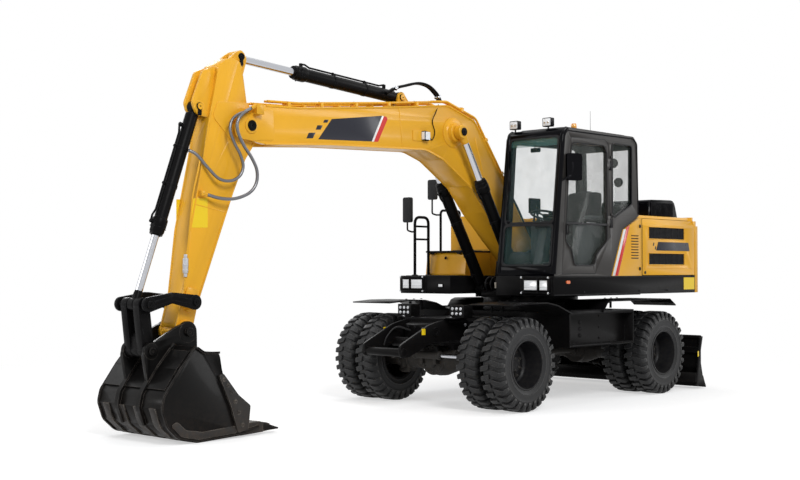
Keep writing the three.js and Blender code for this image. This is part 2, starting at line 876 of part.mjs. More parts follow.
function engineHood() {
  const front = bayFrontX;
  const rear = seamX + 10;
  const lid = plateX(
    [
      [-bodyHalf + 55, hoodZ],
      [-bodyHalf + 95, bodyTop, 60],
      [bodyHalf - 95, bodyTop, 60],
      [bodyHalf - 55, hoodZ],
    ],
    rear,
    front,
  );
  const scoop = plateY(
    [
      [-1130, bodyTop - 1],
      [-1150, bodyTop + 215, 60],
      [-1760, bodyTop + 230, 120],
      [-1840, bodyTop - 1],
    ],
    300,
    1010,
  );
  return join(lid, scoop);
}

function leftBodyPanel() {
  return plateY(
    [
      [50, deckTop + contactGap],
      [-203, 2028],
      [-560, bodyTop - 45, 60],
      [bayFrontX, bodyTop - 45],
      [bayFrontX, deckTop + contactGap],
    ],
    bodyHalf - panel,
    bodyHalf,
  );
}

function fuelTank() {
  return plateX(
    [
      [-bodyHalf + 10, deckTop + contactGap],
      [-bodyHalf + 10, bodyTop - 60, 120],
      [-bodyHalf + 140, bodyTop + 20, 120],
      [-620, bodyTop + 30, 80],
      [-560, deckTop + contactGap],
    ],
    bayFrontX + contactGap,
    105,
  );
}

function toolBox() {
  return plateY(
    [
      [105 + contactGap, deckTop + contactGap],
      [105 + contactGap, 1775],
      [580, 1775, 60],
      [612, deckTop + contactGap, 20],
    ],
    -bodyHalf + 20,
    -560,
  );
}

function handrail() {
  const y = -bodyHalf + 90;
  const loop = pipe(
    [
      [640, y, deckTop + contactGap],
      [640, y, 1800],
      [640, y, 2130],
      [660, y, 2205],
      [768, y, 2235],
      [876, y, 2205],
      [896, y, 2130],
      [896, y, 1800],
      [896, y, deckTop + contactGap],
    ],
    18,
    14,
    6,
  );
  return join(loop, barX([y, 1936], 13, 645, 891), barX([y, 2100], 13, 645, 891));
}

addMesh("upper_frame", upperFrame(), blackPaint);
addMesh("counterweight", counterweight(), yellowPaint);
addMesh("left_engine_door", engineDoor(1), yellowPaint);
addMesh("right_engine_door", engineDoor(-1), yellowPaint);
addMesh("engine_hood", engineHood(), yellowPaint);
addMesh("left_body_panel", leftBodyPanel(), yellowPaint);
addMesh("fuel_tank", fuelTank(), yellowPaint);
addMesh("tool_box", toolBox(), yellowPaint);
addMesh("handrail_right", handrail(), blackPaint);
addMesh(
  "engine_block",
  block(-1650, -800, -wingInnerY + 10, wingInnerY - 10, floorTop + contactGap, 2050),
  castIron,
);

// ---------------------------------------------------------------- cab
const cabBottom = deckTop + contactGap;
const cabTop = cabBottom + cabHeight;
const cabOutline = [
  [1207, cabBottom],
  [1010, cabTop - 40, 60],
  [960, cabTop, 40],
  [-430, cabTop, 70],
  [-520, cabTop - 80, 60],
  [-545, 2205],
  [-190, 2040],
  [62, cabBottom],
];
const windscreenSlope = (1207 - 1010) / (cabTop - 40 - cabBottom);
const frontInset = 60;
const crossBarZ = 2070;
const crossBarHalf = 15;
const lowerPaneBottom = 1600;
const upperPaneTop = cabTop - 100;
const rearWindowBottom = 2330;
const rearWindowTop = cabTop - 150;
const doorHinge = [66, bodyHalf];
const doorHingeLevels = [2100, 2780];
const doorHingeHeight = 90;
const doorHingePin = 5;
const doorHingeBarrel = 10;

function frontX(z) {
  return 1207 - (z - cabBottom) * windscreenSlope;
}

// A pane in the sloping front plane, from y0 to y1 and z0 to z1, of the given depth behind it.
function frontPane(y0, y1, z0, z1, ahead, behind) {
  return plateY(
    [
      [frontX(z0) + ahead, z0],
      [frontX(z1) + ahead, z1],
      [frontX(z1) - behind, z1],
      [frontX(z0) - behind, z0],
    ],
    y0,
    y1,
  );
}

const doorOutline = [
  [1062, cabBottom + 22, 20],
  [985, 2560],
  [890, 3060, 40],
  [184, 3085, 60],
  [114, 3030, 40],
  [75, 1935],
  [360, 1715, 120],
  [392, cabBottom + 22, 20],
];
const doorWindow = [
  [803, 1605, 60],
  [868, 1785, 60],
  [975, 1880, 60],
  [925, 2564],
  [850, 2990, 60],
  [211, 3005, 60],
  [150, 2924],
  [150, 1890, 60],
  [370, 1735, 90],
  [420, 1605, 60],
];
const quarterWindow = [
  [25, 3050, 40],
  [-385, 3045, 40],
  [-380, 2345, 40],
  [-15, 2180, 30],
  [25, 2200, 30],
];

// The same outline drawn in towards its middle by a distance, for panes and rebates.
function inset(points, distance) {
  const middle = points.reduce(([u, v], p) => [u + p[0] / points.length, v + p[1] / points.length], [0, 0]);
  return points.map(([u, v, radius]) => {
    const away = new THREE.Vector2(u - middle[0], v - middle[1]);
    const length = away.length();
    away.multiplyScalar((length - distance) / length);
    return [middle[0] + away.x, middle[1] + away.y, radius];
  });
}

const rightWindow = [
  [1010, 1760, 50],
  [900, 3020, 60],
  [-380, 3045, 60],
  [-380, 2345, 60],
  [60, 2150, 60],
  [200, 1760, 50],
];

function cabShell() {
  const outer = plateY(cabOutline, cabInnerY, bodyHalf - 2);
  const inner = plateY(
    [
      [frontX(cabBottom + cabWall) - cabWall, cabBottom + cabWall],
      [frontX(cabTop - 90) - cabWall, cabTop - 90],
      [-450, cabTop - 70],
      [-490, 2250],
      [-160, 2085],
      [110, cabBottom + cabWall],
    ],
    cabInnerY + cabWall,
    bodyHalf - cabWall,
  );
  const yIn = cabInnerY + frontInset;
  const yOut = bodyHalf - frontInset - 5;
  const openings = [
    frontPane(yIn, yOut, lowerPaneBottom, crossBarZ - crossBarHalf, 30, cabWall + 10),
    frontPane(yIn, yOut, crossBarZ + crossBarHalf, upperPaneTop, 30, cabWall + 10),
    plateY(doorOutline, bodyHalf - cabWall - 10, bodyHalf + 10),
    plateY(quarterWindow, bodyHalf - cabWall - 10, bodyHalf + 10),
    plateY(rightWindow, cabInnerY - 10, cabInnerY + cabWall + 10),
    block(-600, -440, yIn, yOut, rearWindowBottom, rearWindowTop),
  ];
  const [hingeX, hingeY] = doorHinge;
  const hinges = doorHingeLevels.flatMap((z) => {
    const top = z + doorHingeHeight;
    const knuckles = [z - 25, top].map((low) =>
      join(
        barZ(doorHinge, doorHingeBarrel, low, low + 25),
        block(hingeX - 24, hingeX, hingeY - 12, hingeY + 6, low, low + 25),
      ),
    );
    return [...knuckles, barZ(doorHinge, doorHingePin, z - 1, top + 1)];
  });
  const notches = doorHingeLevels.map((z) =>
    block(hingeX - 34, hingeX + 60, hingeY - 16, hingeY + 10, z, z + doorHingeHeight),
  );
  return join(cut(outer, inner, openings, notches), hinges);
}

function cabDoor() {
  const shrunk = inset(doorOutline, 8);
  const leaf = plateY(shrunk, bodyHalf - cabWall, bodyHalf - 2);
  const [hingeX, hingeY] = doorHinge;
  const straps = doorHingeLevels.map((z) => {
    const low = z + runningGap;
    const high = z + doorHingeHeight - runningGap;
    return cut(
      join(
        barZ(doorHinge, doorHingeBarrel, low, high),
        block(hingeX, hingeX + 80, hingeY - 1, hingeY + 5, low, high),
        block(hingeX + 60, hingeX + 80, hingeY - 8, hingeY + 1, low, high),
      ),
      barZ(doorHinge, boreRadius(doorHingePin), z, z + doorHingeHeight),
    );
  });
  return join(cut(leaf, plateY(doorWindow, bodyHalf - 80, bodyHalf + 10)), straps);
}

addMesh("cab_shell", cabShell(), cabPaint);
addMesh("cab_door", cabDoor(), cabPaint);
addMesh(
  "door_window",
  plateY(inset(doorWindow, paneGap), bodyHalf - 30, bodyHalf - 30 + glass),
  tintedGlass,
);
addMesh(
  "left_rear_window",
  plateY(inset(quarterWindow, paneGap), bodyHalf - 30, bodyHalf - 30 + glass),
  tintedGlass,
);
addMesh(
  "right_window",
  plateY(inset(rightWindow, paneGap), cabInnerY + 20, cabInnerY + 20 + glass),
  tintedGlass,
);
addMesh(
  "rear_window",
  block(
    -520 - glass, -520, cabInnerY + frontInset + paneGap, bodyHalf - frontInset - 5 - paneGap,
    rearWindowBottom + paneGap, rearWindowTop - paneGap,
  ),
  tintedGlass,
);
addMesh(
  "windshield_lower",
  frontPane(
    cabInnerY + frontInset + paneGap, bodyHalf - frontInset - 5 - paneGap,
    lowerPaneBottom + paneGap, crossBarZ - crossBarHalf - paneGap, -15, 15 + glass,
  ),
  tintedGlass,
);
addMesh(
  "windshield_upper",
  frontPane(
    cabInnerY + frontInset + paneGap, bodyHalf - frontInset - 5 - paneGap,
    crossBarZ + crossBarHalf + paneGap, upperPaneTop - paneGap, -15, 15 + glass,
  ),
  tintedGlass,
);

const floorZ = cabBottom + cabWall + contactGap;
const seatY = (cabInnerY + bodyHalf) / 2;
addMesh(
  "operator_seat",
  join(
    block(150, 520, seatY - 170, seatY + 170, floorZ, floorZ + 300),
    block(60, 600, seatY - 250, seatY + 250, floorZ + 299, floorZ + 420),
    plateY(
      [
        [60, floorZ + 400],
        [200, floorZ + 400],
        [70, floorZ + 1020, 40],
        [-40, floorZ + 1020, 40],
      ],
      seatY - 240,
      seatY + 240,
    ),
  ),
  seatFabric,
);
addMesh(
  "operator_console",
  join(
    block(180, 640, seatY - 345, seatY - 258, floorZ, floorZ + 560),
    block(180, 640, seatY + 258, seatY + 325, floorZ, floorZ + 560),
    block(560, 640, seatY - 345, seatY + 325, floorZ, floorZ + 60),
  ),
  trimPlastic,
);
addMesh(
  "steering_column",
  join(
    plateY(
      [
        [1010, floorZ],
        [860, floorZ],
        [760, floorZ + 620],
        [830, floorZ + 650],
      ],
      seatY - 70,
      seatY + 70,
    ),
    barZ([795, seatY], 190, floorZ + 640, floorZ + 670, 20),
  ),
  trimPlastic,
);

// ---------------------------------------------------------------- hose at the boom's end
const hoseRadius = 16;
const hoseSteps = 26;
const stickHoseRoute = [
  [4744, 232, 3101],
  [4842, 250, 3053],
  [4920, 255, 2975],
  [4929, 258, 2870],
  [4860, 262, 2738],
  [4761, 264, 2622],
  [4695, 264, 2503],
  [4700, 260, 2379],
  [4779, 250, 2283],
  [4935, 232, 2223],
  [5089, 205, 2220],
  [5220, 170, 2250],
];

// A fitting in line with the end of a hose, a contact gap from its face.
function hoseFitting(end, next, length) {
  const tip = new THREE.Vector3(...end);
  const out = tip.clone().sub(new THREE.Vector3(...next)).normalize();
  const near = tip.clone().addScaledVector(out, 2 * contactGap);
  const far = tip.clone().addScaledVector(out, length);
  return pipe([near.toArray(), far.toArray()], hoseRadius + 4, 1);
}

// ---------------------------------------------------------------- boom, stick, bucket
function boomBody() {
  const half = boomWidth / 2;
  const web = plateY(
    [
      [boomFoot[0] - 95, boomFoot[1] - 90, 100],
      [boomFoot[0] - 130, boomFoot[1] + 100, 100],
      [904, 2790, 200],
      [1304, 3293, 200],
      [1780, 3430, 120],
      [2881, 3303],
      [4055, 3182],
      [4500, 3163, 60],
      [stickPivot[0] + 140, stickPivot[1] + 60, 120],
      [stickPivot[0] + 110, stickPivot[1] - 130, 120],
      [4515, 2775, 60],
      [3638, 2835],
      [2163, 2890, 150],
      [1876, 2802, 150],
      [1389, 2514, 200],
      [1107, 2220, 200],
      [boomFoot[0] + 110, boomFoot[1] - 95, 60],
    ],
    -half,
    half,
  );
  const fork = plateY(
    [
      [4290, 2600],
      [5000, 2600],
      [5000, 3400],
      [4290, 3400],
    ],
    -half + cheek,
    half - cheek,
  );
  const footBore = barY(boomFoot, boreRadius(45), -300, 300);
  const footCollar = barY(boomFoot, 80, shimGap - bracketInner, bracketInner - shimGap);
  const bosses = Object.values(sides).map((s) =>
    barY(boomCylinderEye, 105, s * (half - 1), s * (boomCylinderY - boomCylinder.rodEyeWidth / 2 - 8)),
  );
  const lugY = lugOffset(stickCylinder, lugHalf);
  const lugs = [-lugY, lugY].map((y) =>
    plateY(
      [
        [stickCylinderFoot[0] - 190, 3340],
        [stickCylinderFoot[0] - 60, stickCylinderFoot[1] + 20, 60],
        [stickCylinderFoot[0], stickCylinderFoot[1] + 72, 60],
        [stickCylinderFoot[0] + 62, stickCylinderFoot[1] + 5, 50],
        [stickCylinderFoot[0] + 72, 3375],
        [stickCylinderFoot[0] + 190, 3300],
      ],
      y - lugHalf,
      y + lugHalf,
    ),
  );
  const stickPin = barY(stickPivot, 45, -half - 18, half + 18);
  const cylinderPin = barY(stickCylinderFoot, stickCylinder.pinRadius, -90, 90);
  const hoseClamp = join(
    block(4590, 4680, half - 1, 245, 3055, 3150),
    hoseFitting(stickHoseRoute[0], stickHoseRoute[1], 80),
  );
  const body = join(cut(web, fork), bosses, lugs, footCollar, stickPin, cylinderPin, hoseClamp);
  return cut(body, footBore);
}

const stickHalf = stickWidth / 2;
const tipHalf = earGap - shimGap;
const boreReach = guideInnerY + 5;

function stickBody() {
  const web = plateY(
    [
      [4785, 3560, 40],
      [4745, 3420],
      [4700, 3160, 60],
      [stickPivot[0] - 130, stickPivot[1] + 90, 100],
      [stickPivot[0] - 130, stickPivot[1] - 110, 100],
      [4720, 2620, 100],
      [4871, 2283],
      [5274, 1262],
      [5335, 1020],
      [5536, 1020],
      [5448, 1338],
      [5379, 1915],
      [5235, 2565],
      [5144, 3040, 60],
      [5088, 3272],
      [5045, 3500, 60],
      [4900, 3590, 60],
    ],
    -stickHalf,
    stickHalf,
  );
  const slot = plateY(
    [
      [4600, 3520],
      [4700, 3470],
      [4870, 3470],
      [4870, 3800],
      [4600, 3800],
    ],
    -52,
    52,
  );
  const topEars = [-70, 70].map((y) =>
    plateY(
      [
        [4740, 3400],
        [stickCylinderEye[0] - 75, stickCylinderEye[1] - 20, 60],
        [stickCylinderEye[0] - 10, stickCylinderEye[1] + 80, 70],
        [stickCylinderEye[0] + 80, stickCylinderEye[1] + 20, 60],
        [5000, 3480],
        [4950, 3380],
      ],
      y - 18,
      y + 18,
    ),
  );
  const earY = lugOffset(bucketCylinder, earHalf);
  const frontEars = [-earY, earY].map((y) =>
    plateY(
      [
        [5060, 3490, 30],
        [5200, 3430, 60],
        [bucketCylinderFoot[0] + 75, bucketCylinderFoot[1] + 30, 70],
        [bucketCylinderFoot[0] + 20, bucketCylinderFoot[1] - 75, 60],
        [5140, 2990],
        [5080, 3200],
      ],
      y - earHalf,
      y + earHalf,
    ),
  );
  const footPin = barY(bucketCylinderFoot, bucketCylinder.pinRadius, -100, 100);
  const tip = barY(bucketPivot, 98, -tipHalf, tipHalf);
  const guideBoss = barY(guidePin, 70, shimGap - guideInnerY, guideInnerY - shimGap);
  const collarY = boomWidth / 2 - cheek - shimGap;
  const pivotCollar = barY(stickPivot, 90, -collarY, collarY);
  const hosePort = join(
    hoseFitting(stickHoseRoute.at(-1), stickHoseRoute.at(-2), 62),
    block(5245, 5285, stickHalf - 1, 175, 2240, 2285),
  );
  return cut(
    join(cut(web, slot), topEars, frontEars, footPin, tip, guideBoss, pivotCollar, hosePort),
    barY(stickPivot, boreRadius(45), -boreReach, boreReach),
    barY(bucketPivot, boreRadius(40), -boreReach, boreReach),
    barY(guidePin, boreRadius(30), -boreReach, boreReach),
  );
}

function bucketBody() {
  const half = bucketWidth / 2;
  const wrapper = [
    [4850, 70],
    [5035, 32],
    [5578, 12],
    [5770, 54],
    [5900, 170],
    [5956, 330],
    [5930, 440],
    [5760, 670],
    [5590, 862],
  ];
  const side = [
    [4990, 280, 60],
    [5035, 40],
    [5578, 24],
    [5766, 66],
    [5890, 178],
    [5944, 332],
    [5920, 436],
    [5752, 664],
    [5580, 855],
    [5500, 800, 60],
    [5330, 800, 60],
    [5290, 590, 200],
  ];
  const shell = plateY(ribbon(wrapper, bucketPlate), -half, half);
  const sidePlates = Object.values(sides).map((s) =>
    plateY(side, s * (half - sidePlate), s * half),
  );
  const earInner = earGap;
  const ears = Object.values(sides).map((s) =>
    plateY(
      [
        [5340, 800],
        [5345, 990, 80],
        [5430, 1075, 90],
        [5560, 1030, 80],
        [5800, 905, 60],
        [5905, 870, 70],
        [5930, 780, 70],
        [5880, 490, 30],
        [5740, 640],
        [5570, 830],
        [5500, 790],
      ],
      s * earInner,
      s * (earInner + earPlate),
    ),
  );
  const topPlate = plateY(
    [
      [5345, 800],
      [5345, 770],
      [5500, 765],
      [5600, 835],
      [5590, 862],
      [5500, 795],
    ],
    -half + 2,
    half - 2,
  );
  const pin = barY(bucketPivot, 40, -earInner - earPlate - 25, earInner + earPlate + 25);
  const capY = earInner + earPlate + 12;
  const linkPinBar = barY(linkPin, linkPinRadius, -capY, capY);
  const pitch = (bucketWidth - 140) / (toothCount - 1);
  const teeth = [];
  for (let i = 0; i < toothCount; i += 1) {
    const y = -half + 70 + i * pitch;
    teeth.push(
      plateY(
        [
          [4960, 20],
          [4960, 110],
          [4820, 125],
          [4594, 48],
          [4596, 36],
          [4800, 30],
        ],
        y - 38,
        y + 38,
      ),
    );
  }
  return join(shell, sidePlates, ears, topPlate, pin, linkPinBar, teeth);
}

function guideLinks() {
  const plates = Object.values(sides).map((s) => {
    const bend = [(guidePin[0] + bucketCylinderEye[0]) / 2, guidePin[1] + 45];
    return join(
      strap(guidePin, 68, bend, 48, s * guideInnerY, s * (guideInnerY + guidePlate)),
      strap(bend, 48, bucketCylinderEye, 66, s * guideInnerY, s * (guideInnerY + guidePlate)),
      barY(bucketCylinderEye, 34, s * (earGap + 2), s * (guideInnerY + guidePlate + 14)),
    );
  });
  const outer = guideInnerY + guidePlate + 14;
  return join(plates, barY(guidePin, 30, -outer, outer));
}

function bucketLink() {
  const plates = Object.values(sides).map((s) =>
    strap(bucketCylinderEye, 60, linkPin, 62, s * 52, s * (earGap - runningGap)),
  );
  const along = [
    linkPin[0] * 0.7 + bucketCylinderEye[0] * 0.3,
    linkPin[1] * 0.7 + bucketCylinderEye[1] * 0.3,
  ];
  const web = strap(along, 40, linkPin, 55, -53, 53);
  const collar = barY(linkPin, 58, shimGap - earGap, earGap - shimGap);
  return cut(join(plates, web, collar), barY(linkPin, boreRadius(linkPinRadius), -earGap, earGap));
}

addMesh("boom", boomBody(), yellowPaint);
addMesh("stick", stickBody(), yellowPaint);
addMesh("bucket", bucketBody(), wornSteel);
addMesh("guide_links", guideLinks(), blackPaint);
addMesh("bucket_link", bucketLink(), blackPaint);
for (const [side, s] of Object.entries(sides)) {
  const y = s * boomCylinderY;
  const barrel = cylinderBarrel(boomCylinder, boomCylinderFoot, boomCylinderEye, y);
  const rod = cylinderRod(boomCylinder, boomCylinderFoot, boomCylinderEye, y);
  addMesh(`boom_cylinder_barrel_${side}`, barrel, blackPaint);
  addMesh(`boom_cylinder_rod_${side}`, rod, chrome);
}
for (const [name, size, foot, eye] of [
  ["stick", stickCylinder, stickCylinderFoot, stickCylinderEye],
  ["bucket", bucketCylinder, bucketCylinderFoot, bucketCylinderEye],
]) {
  addMesh(`${name}_cylinder_barrel`, cylinderBarrel(size, foot, eye, 0), blackPaint);
  addMesh(`${name}_cylinder_rod`, cylinderRod(size, foot, eye, 0), chrome);
}

addMesh("stick_hose_outer", pipe(stickHoseRoute, hoseRadius, hoseSteps), braid);

// The origin is the middle of the footprint, on the ground.
const root = new THREE.Group();
root.add(machine);
root.updateMatrixWorld(true);
const extent = new THREE.Box3().setFromObject(machine);
machine.position.x = -(extent.min.x + extent.max.x) / 2;
machine.position.y = -(extent.min.y + extent.max.y) / 2;

export default root;
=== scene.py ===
import json
import math
import bmesh
import bpy
from mathutils import Matrix, Vector


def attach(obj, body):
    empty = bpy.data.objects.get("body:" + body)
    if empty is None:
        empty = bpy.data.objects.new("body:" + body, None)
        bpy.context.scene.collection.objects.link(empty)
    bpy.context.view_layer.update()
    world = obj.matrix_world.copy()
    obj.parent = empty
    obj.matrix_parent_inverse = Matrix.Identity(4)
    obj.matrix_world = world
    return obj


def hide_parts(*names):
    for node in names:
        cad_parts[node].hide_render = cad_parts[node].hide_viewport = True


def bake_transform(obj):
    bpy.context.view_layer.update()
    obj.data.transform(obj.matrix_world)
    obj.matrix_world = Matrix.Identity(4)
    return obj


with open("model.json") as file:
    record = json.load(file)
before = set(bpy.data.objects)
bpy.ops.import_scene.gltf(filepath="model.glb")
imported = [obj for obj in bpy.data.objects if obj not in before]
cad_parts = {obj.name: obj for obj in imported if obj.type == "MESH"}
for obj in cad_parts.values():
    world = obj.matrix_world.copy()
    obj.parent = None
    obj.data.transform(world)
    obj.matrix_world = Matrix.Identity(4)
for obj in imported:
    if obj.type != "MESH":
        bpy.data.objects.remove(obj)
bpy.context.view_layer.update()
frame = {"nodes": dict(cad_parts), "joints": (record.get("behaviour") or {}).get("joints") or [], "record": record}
jointPlace = {j["name"]: Vector(j["pos_m"]) for j in frame["joints"] if j.get("pos_m")}
slewX = jointPlace["swing"].x
sideSigns = {"left": 1, "right": -1}
axisX, axisY, axisZ = (1, 0, 0), (0, 1, 0), (0, 0, 1)


def at(x, y, z):
    # a point given from the slew axis, in the frame
    return Vector((slewX + x, y, z))


def localX(place):
    return place.x - slewX


# camera and colour view
cameraPlace = {"x": 12.2906, "y": 9.2746, "z": 1.5424, "azimuth": 43.156, "upward": 1.423, "lens": 54.79}


def makeCamera(place):
    data = bpy.data.cameras.new("camera")
    data.lens = place["lens"]
    data.sensor_width = 36
    data.clip_end = 200
    camera = bpy.data.objects.new("camera", data)
    bpy.context.scene.collection.objects.link(camera)
    camera.location = at(place["x"], place["y"], place["z"])
    turn = math.radians(place["azimuth"])
    rise = math.radians(place["upward"])
    look = Vector((-math.cos(turn) * math.cos(rise), -math.sin(turn) * math.cos(rise), math.sin(rise)))
    camera.rotation_mode = "QUATERNION"
    camera.rotation_quaternion = look.to_track_quat("-Z", "Y")
    bpy.context.scene.camera = camera


makeCamera(cameraPlace)
bpy.context.scene.view_settings.view_transform = "Standard"


# node helpers
def newTree(material):
    material.use_nodes = True
    tree = material.node_tree
    tree.nodes.clear()
    return tree


def link(output, socket):
    output.id_data.links.new(output, socket)


def addNode(tree, kind, **values):
    node = tree.nodes.new(kind)
    for name, value in values.items():
        if hasattr(node, name):
            setattr(node, name, value)
        else:
            node.inputs[name.replace("_", " ")].default_value = value
    return node


def objectCoords(tree):
    return addNode(tree, "ShaderNodeTexCoord").outputs["Object"]


def noise(tree, vector, scale, detail=3.0, roughness=0.5):
    node = addNode(tree, "ShaderNodeTexNoise", Scale=scale, Detail=detail, Roughness=roughness)
    link(vector, node.inputs["Vector"])
    return node.outputs["Fac"]


def remap(tree, value, low, high, toLow=0.0, toHigh=1.0):
    node = addNode(tree, "ShaderNodeMapRange", From_Min=low, From_Max=high, To_Min=toLow, To_Max=toHigh)
    link(value, node.inputs["Value"])
    return node.outputs["Result"]


def mathNode(tree, operation, first, second):
    node = addNode(tree, "ShaderNodeMath", operation=operation)
    for socket, value in zip(node.inputs, (first, second)):
        if isinstance(value, (int, float)):
            socket.default_value = value
        else:
            link(value, socket)
    return node.outputs["Value"]


def mixColors(tree, factor, first, second):
    node = addNode(tree, "ShaderNodeMix", data_type="RGBA")
    for name, value in (("Factor_Float", factor), ("A_Color", first), ("B_Color", second)):
        socket = next(s for s in node.inputs if s.identifier == name)
        if isinstance(value, (int, float, tuple)):
            socket.default_value = value
        else:
            link(value, socket)
    return next(s for s in node.outputs if s.identifier == "Result_Color")


def newGroup(name, inputs, outputs):
    group = bpy.data.node_groups.new(name, "ShaderNodeTree")
    for label, kind, default in inputs:
        socket = group.interface.new_socket(label, in_out="INPUT", socket_type=kind)
        socket.default_value = default
    for label, kind in outputs:
        group.interface.new_socket(label, in_out="OUTPUT", socket_type=kind)
    return group, group.nodes.new("NodeGroupInput"), group.nodes.new("NodeGroupOutput")


def placeGroup(tree, group, values):
    node = tree.nodes.new("ShaderNodeGroup")
    node.node_tree = group
    for name, value in values.items():
        if isinstance(value, (int, float, tuple)):
            node.inputs[name].default_value = value
        else:
            link(value, node.inputs[name])
    return node


def newSurface(name, **values):
    # a material whose one shader is on its surface output
    material = bpy.data.materials.new(name)
    tree = newTree(material)
    out = addNode(tree, "ShaderNodeOutputMaterial")
    shader = addNode(tree, "ShaderNodeBsdfPrincipled", **values)
    link(shader.outputs["BSDF"], out.inputs["Surface"])
    return material, tree, shader


# shared finishes: settled dust and colour drift, edges lightened by wear and by a painted highlight, fine grain
def makeDustGroup():
    group, given, out = newGroup("dustAndDrift", [("Color", "NodeSocketColor", (0.5, 0.5, 0.5, 1)),
        ("Dust Color", "NodeSocketColor", (0.3, 0.24, 0.17, 1)), ("Dust", "NodeSocketFloat", 0.3),
        ("Height", "NodeSocketFloat", 1.2), ("Drift", "NodeSocketFloat", 0.06),
        ("Roughness", "NodeSocketFloat", 0.35)], [("Color", "NodeSocketColor"),
        ("Roughness", "NodeSocketFloat")])
    place = objectCoords(group)
    broad = noise(group, place, 1.7, 4)
    fine = noise(group, place, 23, 6, 0.65)
    drift = mathNode(group, "MULTIPLY", remap(group, broad, 0.3, 0.7, -1, 1), given.outputs["Drift"])
    shade = addNode(group, "ShaderNodeHueSaturation")
    link(mathNode(group, "ADD", drift, 1.0), shade.inputs["Value"])
    link(given.outputs["Color"], shade.inputs["Color"])
    split = addNode(group, "ShaderNodeSeparateXYZ")
    link(place, split.inputs["Vector"])
    low = addNode(group, "ShaderNodeMapRange", From_Min=0.0, To_Min=1.0, To_Max=0.0)
    link(split.outputs["Z"], low.inputs["Value"])
    link(given.outputs["Height"], low.inputs["From Max"])
    patches = mathNode(group, "MULTIPLY", low.outputs["Result"], remap(group, fine, 0.35, 0.75))
    mask = mathNode(group, "MULTIPLY", patches, given.outputs["Dust"])
    link(mixColors(group, mask, shade.outputs["Color"], given.outputs["Dust Color"]), out.inputs["Color"])
    rough = mathNode(group, "MULTIPLY_ADD", mask, 0.5)
    link(given.outputs["Roughness"], rough.node.inputs[2])
    scuffed = mathNode(group, "ADD", rough, remap(group, fine, 0.2, 0.8, -0.05, 0.05))
    link(scuffed, out.inputs["Roughness"])
    return group


# a mask along rounded edges, where a lighter colour stands for wear and for a painted highlight
def makeEdgeGroup():
    group, given, out = newGroup("edgeWearAndHighlight", [("Width", "NodeSocketFloat", 0.01),
        ("Amount", "NodeSocketFloat", 0.5), ("Break Up", "NodeSocketFloat", 18.0)],
        [("Mask", "NodeSocketFloat")])
    bevel = addNode(group, "ShaderNodeBevel", samples=4)
    link(given.outputs["Width"], bevel.inputs["Radius"])
    geometry = addNode(group, "ShaderNodeNewGeometry")
    dot = addNode(group, "ShaderNodeVectorMath", operation="DOT_PRODUCT")
    link(bevel.outputs["Normal"], dot.inputs[0])
    link(geometry.outputs["Normal"], dot.inputs[1])
    turned = remap(group, dot.outputs["Value"], 1.0, 0.86)
    speckle = addNode(group, "ShaderNodeTexNoise", Detail=5.0, Roughness=0.6)
    link(given.outputs["Break Up"], speckle.inputs["Scale"])
    link(objectCoords(group), speckle.inputs["Vector"])
    broken = mathNode(group, "MULTIPLY", turned, remap(group, speckle.outputs["Fac"], 0.35, 0.6))
    link(mathNode(group, "MULTIPLY", broken, given.outputs["Amount"]), out.inputs["Mask"])
    return group


def makeGrainGroup():
    group, given, out = newGroup("fineGrain", [("Scale", "NodeSocketFloat", 400.0),
        ("Depth", "NodeSocketFloat", 0.1)], [("Height", "NodeSocketFloat")])
    place = objectCoords(group)
    speck = addNode(group, "ShaderNodeTexNoise", Detail=4.0, Roughness=0.6)
    link(place, speck.inputs["Vector"])
    link(given.outputs["Scale"], speck.inputs["Scale"])
    link(mathNode(group, "MULTIPLY", speck.outputs["Fac"], given.outputs["Depth"]), out.inputs["Height"])
    return group


dustGroup = makeDustGroup()
edgeGroup = makeEdgeGroup()
grainGroup = makeGrainGroup()


def paintMaterial(name, look):
    # a painted or moulded surface with colour drift, dust low down, edges lightened by wear and by a painted
    # highlight, and a fine grain
    material, tree, shader = newSurface(name, Coat_Weight=look.get("coat", 0.0),
        Coat_Roughness=look.get("coatRoughness", 0.1), Specular_IOR_Level=look.get("specular", 0.2))
    dust = placeGroup(tree, dustGroup, {"Color": (*look["color"], 1),
        "Dust Color": (*look.get("dustColor", (0.3, 0.25, 0.19)), 1), "Dust": look.get("dust", 0.0),
        "Height": look.get("dustHeight", 1.3), "Drift": look.get("drift", 0.05),
        "Roughness": look["roughness"]})
    color = dust.outputs["Color"]
    if look.get("edge"):
        wearAndHighlight = placeGroup(tree, edgeGroup, {"Width": look.get("edgeWidth", 0.008), "Amount": look["edge"],
            "Break Up": look.get("breakUp", 18.0)})
        # the edges take edgeColor: part wear, part a painted highlight along the edges
        color = mixColors(tree, wearAndHighlight.outputs["Mask"], color, (*look["edgeColor"], 1))
        if look.get("edgeMetal"):
            link(mathNode(tree, "MULTIPLY", wearAndHighlight.outputs["Mask"], look["edgeMetal"]),
                shader.inputs["Metallic"])
    link(color, shader.inputs["Base Color"])
    link(dust.outputs["Roughness"], shader.inputs["Roughness"])
    if look.get("grain"):
        grain = placeGroup(tree, grainGroup, {"Scale": look.get("grainScale", 300.0), "Depth": 1.0})
        bump = addNode(tree, "ShaderNodeBump", Strength=look["grain"], Distance=look.get("grainDepth",
            0.002))
        link(grain.outputs["Height"], bump.inputs["Height"])
        link(bump.outputs["Normal"], shader.inputs["Normal"])
    if not look.get("edgeMetal"):
        shader.inputs["Metallic"].default_value = look.get("metallic", 0.0)
    return material
